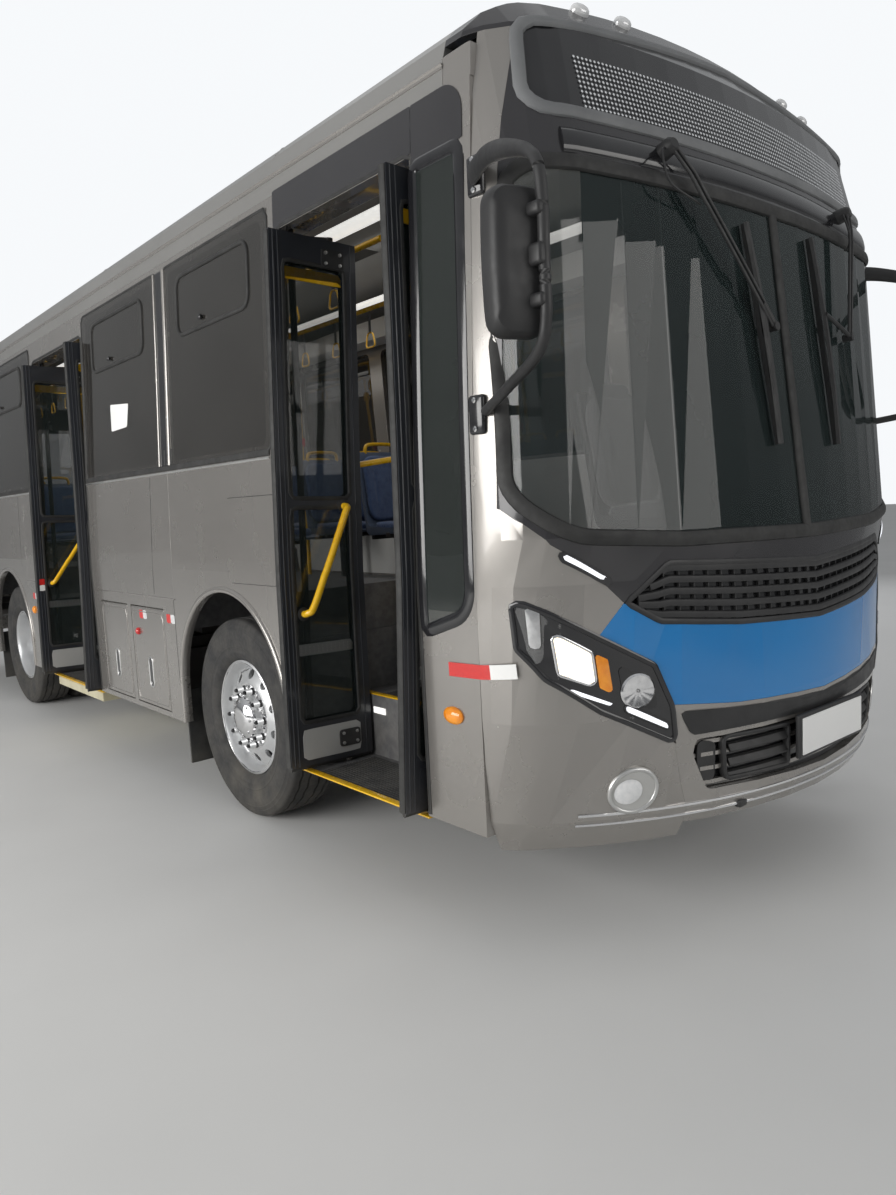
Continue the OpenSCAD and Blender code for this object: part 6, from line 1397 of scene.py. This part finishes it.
strips = [boxParts((x, 0.35, 2.93), (0.11, 7.2, 0.022), 0.008) for x in (-0.52, 0.52)]
addPiece("ceiling_lamps", *merged(strips), "cabinLamp")
ducts = [slabParts([(y0, 2.80, 0.03), (y0 + 7.4, 2.80, 0.03), (y0 + 7.4, 2.95, 0.05), (y0, 2.95, 0.05)], x0, x0 + 0.20, 0.04)
         for x0 in (-1.08, 0.88) for y0 in (-3.3,)]
addPiece("ceiling_ducts", *merged(ducts), "whitePanel")

# Poles by the steps, bell pushes, and straps hung from the rails
poles = []
for doorName, door in (("front", frontDoor), ("mid", midDoor)):
    px = -body["sideX"] + door["width"] / 2 - 0.104 + 0.02 + 0.27
    for y in (door["front"] + 0.02, door["back"] - 0.02):
        if (doorName, y > door["front"] + 0.3) == ("front", False):
            continue
        poles.append(tubeParts([(px, y, 0.952), (px, y, 2.79)], 0.0165, 14, up=(0, 1, 0)))
        poles.append(tubeParts([(px, y, 1.75), (px - 0.24, y, 1.72), (px - 0.25, y, 1.70)], 0.014, 12, up=(0, 1, 0)))
addPiece("step_poles", *merged(poles), "yellowPaint")
straps, stirrups, clamps = [], [], []
for s in (-1, 1):
    for y in np.arange(-1.9, 3.9, 0.42):
        x = s * 0.42
        p = np.array([(x, y, 2.845), (x, y, 2.80), (x, y, 2.70)])
        straps.append(bandParts(p, np.tile([float(s), 0.0, 0.0], (3, 1)), [(-0.012, -0.0015), (0.012, -0.0015), (0.012, 0.0015), (-0.012, 0.0015)]))
        ring = roundedOutline([(-0.055, 0.0, 0.02), (0.055, 0.0, 0.02), (0.03, 0.095, 0.03), (-0.03, 0.095, 0.03)], 4)
        p = np.column_stack([np.full(len(ring), x), y + ring[:, 0], 2.60 + ring[:, 1] + 0.008])
        stirrups.append(tubeParts(p, 0.006, 8, closed=True, up=(1, 0, 0)))
addPiece("strap_webs", *merged(straps), "greyRubber")
addPiece("strap_grips", *merged(stirrups), "yellowPaint")
pushes = [boxParts((s * 0.42 - s * 0.0, y - 0.022, 2.05), (0.04, 0.016, 0.06), 0.006) for s in (-1, 1) for y in (-0.08, 1.04, 2.3)]
addPiece("bell_pushes", *merged(pushes), "redBand")
print("cabin made")

# Rear wall: window seal, lamp rims and lenses, blank plate, service panel seam, reflectors and marker lamps
def onRear(x, z, out=0.0):
    # Flat rear face: y is the tail plus out
    x, z = np.broadcast_arrays(np.asarray(x, dtype=float), np.asarray(z, dtype=float))
    n = np.zeros((*x.shape, 3))
    n[..., 1] = 1.0
    return np.stack([x, body["tailY"] + 0 * x, z], -1) + n * np.asarray(out)[..., None], n


outlineBand("rear_window_seal", rectLine(-0.82, 0.82, 1.76, 2.56, 0.09, 10), onRear, domeSection(0.05, 0.009, 0.02), "rubber", step=0.03)
rearLamps = ((0.98, "lampRed"), (1.13, "lampAmber"), (1.28, "lampRed"))
for tag, s in (("right", -1), ("left", 1)):
    for k, (z0, mat) in enumerate(rearLamps):
        a = np.linspace(0, 2 * np.pi, 40, endpoint=False)
        r = np.array([1.0, 1.0, 0.93, 0.7, 0.4, 0.02])[:, None]
        out = np.array([-0.004, 0.002, 0.006, 0.0075, 0.0085, 0.009])[:, None] + 0.0005 * np.cos(10 * a)[None] * (r < 0.9)
        pts, _ = onRear(s * 1.02 + 0.054 * r * np.cos(a), z0 + 0.054 * r * np.sin(a), out)
        addPiece("tail_lens_%s_%d" % (tag, k), pts, gridFaces(6, 40, wrapV=True), mat)
        outlineBand("tail_rim_%s_%d" % (tag, k), ringOn(s * 1.02, z0, 0.0605), onRear, domeSection(0.012, 0.006, 0.004, 3), "chrome",
                    step=0.014)
    addPiece("rear_reflex_" + tag, *patchParts(rectLine(s * 0.80 - 0.045, s * 0.80 + 0.045, 0.60, 0.64, 0.004, 3), onRear, 0.004,
                                               rings=2, depth=0.004), "redBand")
    addPiece("rear_top_marker_" + tag, *patchParts(rectLine(s * 0.9 - 0.045, s * 0.9 + 0.045, 2.98, 3.01, 0.014, 4), onRear, 0.007,
                                                   rings=4, crown=0.002, depth=0.007, step=0.01), "lampRed")
for name, outline in dict(service=rectLine(-0.78, 0.78, 0.66, 1.56, 0.03), lowBand=rectLine(-1.06, 1.06, 0.575, 1.64, 0.05)).items():
    outlineBand("rear_seam_" + name, outline, onRear, domeSection(0.007, 0.001, 0.002, 3), "trimBlack", step=0.04)
for k, x in enumerate((-0.6, 0.6)):
    p, _ = onRear(np.full(3, x), np.full(3, 1.50), np.array([0.0, 0.005, 0.007]))
    addPiece("rear_latch_%d" % k, *tubeParts(p, np.array([0.02, 0.02, 0.015]), 18, up=(0, 0, 1)), "trimBlack")
addPiece("rear_plate", *boxParts((0, 4.505, 0.86), (0.50, 0.007, 0.115), 0.003), "whitePaper")
addPiece("rear_plate_frame", *boxParts((0, 4.5025, 0.86), (0.53, 0.008, 0.14), 0.004), "trimBlack")
addPiece("rear_plate_lamp", *boxParts((0, 4.508, 0.952), (0.12, 0.022, 0.028), 0.008), "trimBlack")
addPiece("high_brake_lamp", *patchParts(rectLine(-0.22, 0.22, 2.66, 2.69, 0.012, 4), onRear, 0.008, rings=3, depth=0.008, step=0.02),
         "lampRed")
addPiece("rear_vent_slats", *merged([bandParts(*onRear(np.linspace(-0.3, 0.3, 8), zz + np.zeros(8), 0.001), [(-0.010, 0.0), (0.010, 0.0),
         (0.006, 0.007), (-0.008, 0.002)]) for zz in np.linspace(2.76, 2.86, 5)]), "silverPaint")

# Roof: seams over the crown, whose height is that of a circle with a drop of 96 mm at its edge, then the shoulder
crownHalf, crownDrop = 1.035, 0.096
crownR = (crownHalf ** 2 + crownDrop ** 2) / (2 * crownDrop)


def onRoof(x, y, out=0.0):
    # Inside the crown z = top - R + sqrt(R^2 - x^2); past it straight runs to the shoulder's points
    x = np.asarray(x, dtype=float)
    height = lambda q: np.where(np.abs(q) < crownHalf, body["roofZ"] - crownR + np.sqrt(crownR ** 2 - np.minimum(q * q, crownHalf ** 2)),
                                np.interp(np.abs(q), [1.035, 1.108, 1.152, 1.172], [3.084, 3.054, 3.008, 2.94]))
    n = unit(np.stack([(height(x - 0.004) - height(x + 0.004)) / 0.008, 0 * x, 1 + 0 * x], -1))
    return np.stack([x, y + 0 * x, height(x)], -1) + n * out, n


seamParts = []
for y in (-2.6, -0.45, 1.3, 3.1):
    p, n = onRoof(np.linspace(-1.14, 1.14, 70), y)
    seamParts.append(bandParts(p, n, domeSection(0.022, 0.003, 0.004, 3)))
addPiece("roof_seams", *merged(seamParts), "roofPaint")
gutters = []
for place in (onRight, onLeft):
    y = np.linspace(-3.72, 4.22, 60)
    p, n = place(y, 2.925 + 0 * y)
    gutters.append(bandParts(p, n, [(-0.010, -0.003), (0.006, -0.003), (0.008, 0.006), (0.006, 0.008), (0.0, 0.003), (-0.008, 0.003)]))
addPiece("rain_gutters", *merged(gutters), "silverPaint")
for k, (x, z) in enumerate(((-0.744, 3.125), (-0.538, 3.14), (0.538, 3.14), (0.744, 3.125))):
    a = np.linspace(0, 2 * np.pi, 28, endpoint=False)
    r = np.array([1.0, 1.0, 0.9, 0.65, 0.3, 0.02])[:, None]
    out = np.array([-0.004, 0.008, 0.016, 0.022, 0.025, 0.026])[:, None]
    pts, _ = onFront(x + 0.034 * r * np.cos(a), z + 0.02 * r * np.sin(a), out + 0 * a)
    addPiece("roof_marker_%d" % k, pts, gridFaces(6, 28, wrapV=True), "lampClear")
for node, y in (("roof_hatch_front", -1.1), ("roof_hatch_rear", 2.3)):
    parts = []
    for x in np.linspace(-0.22, 0.22, 5):
        line = np.stack([np.full(2, x), np.array([y - 0.24, y + 0.24]), np.full(2, 3.2254)], 1)
        parts.append(bandParts(line, np.tile([0.0, 0.0, 1.0], (2, 1)), domeSection(0.03, 0.007, 0.002)))
    addPiece(node + "_ribs", *merged(parts), "roofPaint", node)

# Mirrors, for the left side: the arm's line with a flat cover that narrows to the tube, and a shell with two panes
mirror = dict(centre=(1.50, -4.34, 2.122), turn=16, half=(0.079, 0.186), corner=0.042, bulge=0.007, feetY=-3.875, feetZ=(1.80, 2.535),
              arm=[(1.205, -3.875, 2.54), (1.29, -4.03, 2.525), (1.40, -4.23, 2.455), (1.463, -4.375, 2.375), (1.473, -4.406, 2.27),
                   (1.473, -4.406, 2.12), (1.473, -4.406, 1.98), (1.452, -4.355, 1.90), (1.36, -4.15, 1.845), (1.20, -3.86, 1.80)])
# Shell's rings: share of the outline, and place across the shell's depth from its glass to its back
shellRings = np.array([(0.91, 0.026), (0.95, 0.034), (0.985, 0.037), (1.0, 0.031), (1.0, 0.008), (0.985, -0.010), (0.94, -0.024),
                       (0.82, -0.033), (0.5, -0.037), (0.01, -0.038)])
h, v = mirror["half"]
shellLine = spaced(roundedOutline([(-h, -v, mirror["corner"]), (h, -v, mirror["corner"]), (h, v, mirror["corner"]),
                                   (-h, v, mirror["corner"])]), 0.012)
shellLine[:, 0] += np.sign(shellLine[:, 0]) * mirror["bulge"] * (1 - (shellLine[:, 1] / v) ** 2)
mirrorParts = dict(trimBlack=[], chrome=[], rubber=[], glossBlack=[])
for s in (-1, 1):
    turn = np.diag([float(s), 1.0, 1.0]) @ turnAbout("Z", mirror["turn"])
    place = lambda p: p @ turn.T + np.array(mirror["centre"]) * [s, 1, 1]
    path = smoothPath(mirror["arm"], 110) * [s, 1, 1]
    ring, faces = tubeParts(path, 0.0155, 16, up=(0, 0.2, 1))
    tall = 1.0 + 1.5 * np.clip(1 - np.arange(110) / 34.0, 0, 1) ** 0.7
    ring[..., 2] = path[:, None, 2] + (ring[..., 2] - path[:, None, 2]) * tall[:, None]
    mirrorParts["trimBlack"].append((ring, faces))
    rings = np.stack([np.column_stack([shellLine[:, 0] * k, np.full(len(shellLine), d), shellLine[:, 1] * k]) for k, d in shellRings])
    mirrorParts["trimBlack"].append((place(rings), gridFaces(len(rings), len(shellLine), wrapV=True)))
    for zMid, high in ((0.058, 0.205), (-0.113, 0.105)):
        mirrorParts["chrome"].append(boxParts(place(np.array([0.0, 0.0285, zMid])), (0.136, 0.006, high), 0.0025, 3, turn))
    mirrorParts["rubber"].append(boxParts(place(np.array([0.0, 0.0245, 0.0])), (0.144, 0.004, 0.34), 0.0018, 2, turn))
    for zMid in (2.02, 2.13, 2.24):
        mirrorParts["trimBlack"].append(boxParts(np.array([s * 1.478, -4.392, zMid]), (0.045, 0.052, 0.034 if zMid != 2.13 else 0.055), 0.01, 3))
    for z in mirror["feetZ"]:
        x = body["sideX"] - np.interp(z, sideLine[:, 0], sideLine[:, 1])
        mirrorParts["glossBlack"].append(boxParts(np.array([s * (x - 0.002), mirror["feetY"], z]), (0.03, 0.07, 0.125), 0.012, 3))
        for dz in (-0.045, 0.045):
            p = np.array([(s * (x + q), mirror["feetY"], z + dz) for q in (0.008, 0.017, 0.02)])
            mirrorParts["chrome"].append(tubeParts(p, np.array([0.0095, 0.0095, 0.006]), 12, up=(0, 0, 1)))
for mat, parts in mirrorParts.items():
    piece = addPiece("mirror_parts_" + mat, *merged(parts), mat)
    if mat == "trimBlack":
        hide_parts("mirrors")

# Bumper: two chrome strips on the lip as painted highlight lines, tow lug; red and white strip round the door-side
# corner
for k, (z0, wide) in enumerate(((0.462, 0.011), (0.425, 0.009))):
    x = np.linspace(-1.04, 1.04, 90)
    p, n = onFront(x, z0 + 0.008 * (np.abs(x) / 1.04) ** 3)
    addPiece("bumper_bright_edge_%d" % k, *bandParts(p, n, domeSection(wide, 0.0035, 0.003, 3)), "chrome")
addPiece("tow_lug", *boxParts((-0.46, float(frontY(-0.46, 0.42)) + 0.004, 0.425), (0.05, 0.03, 0.03), 0.01), "trimBlack")
cornerY = float(frontY(1.2505, 0.97))
theta = np.linspace(0, 0.42, 14)
stripX = np.concatenate([np.full(6, 1.2525), 0.9125 + 0.34 * np.cos(theta)])
stripY = np.concatenate([np.linspace(-3.70, cornerY, 7)[:-1], cornerY - 0.34 * np.sin(theta)])
stripN = np.concatenate([np.tile([-1.0, 0.0, 0.0], (6, 1)), np.stack([-np.cos(theta), -np.sin(theta), 0 * theta], 1)])
stripPts = np.stack([-stripX, stripY, 0.962 + 0.0 * stripX + 0.02 * np.linspace(0, 1, len(stripX))], 1)
half = len(stripX) // 2
for mat, part in (("redBand", slice(0, half + 1)), ("whitePaper", slice(half, None))):
    addPiece("corner_strip_" + mat, *bandParts(stripPts[part], stripN[part], [(-0.024, 0.0), (0.024, 0.0), (0.024, 0.0025),
                                                                             (-0.024, 0.0025)]), mat)

# Under the body: straps round the tanks
bands = []
for y in (-1.0, -0.48):
    loop = spaced(roundedOutline([(-1.164, 0.4256, 0.06), (-0.676, 0.4256, 0.06), (-0.676, 0.7576, 0.06), (-1.164, 0.7576, 0.06)], 6), 0.03)
    mid = loop.mean(0)
    away = unit(np.column_stack([loop[:, 0] - mid[0], 0 * loop[:, 0], loop[:, 1] - mid[1]]))
    bands.append(bandParts(np.column_stack([loop[:, 0], np.full(len(loop), y), loop[:, 1]]), away, domeSection(0.045, 0.003, 0.002, 3), True))
for x in (0.62, 0.90):
    for y in (-0.95, -0.45):
        a = np.linspace(0, 2 * np.pi, 30, endpoint=False)
        away = np.stack([np.cos(a), 0 * a, np.sin(a)], 1)
        bands.append(bandParts(np.array([x, y, 0.6346]) + 0.1255 * away, away, domeSection(0.035, 0.003, 0.002, 3), True))
addPiece("tank_straps", *merged(bands), "aluminium")
print("rear, roof, mirrors and underside made")
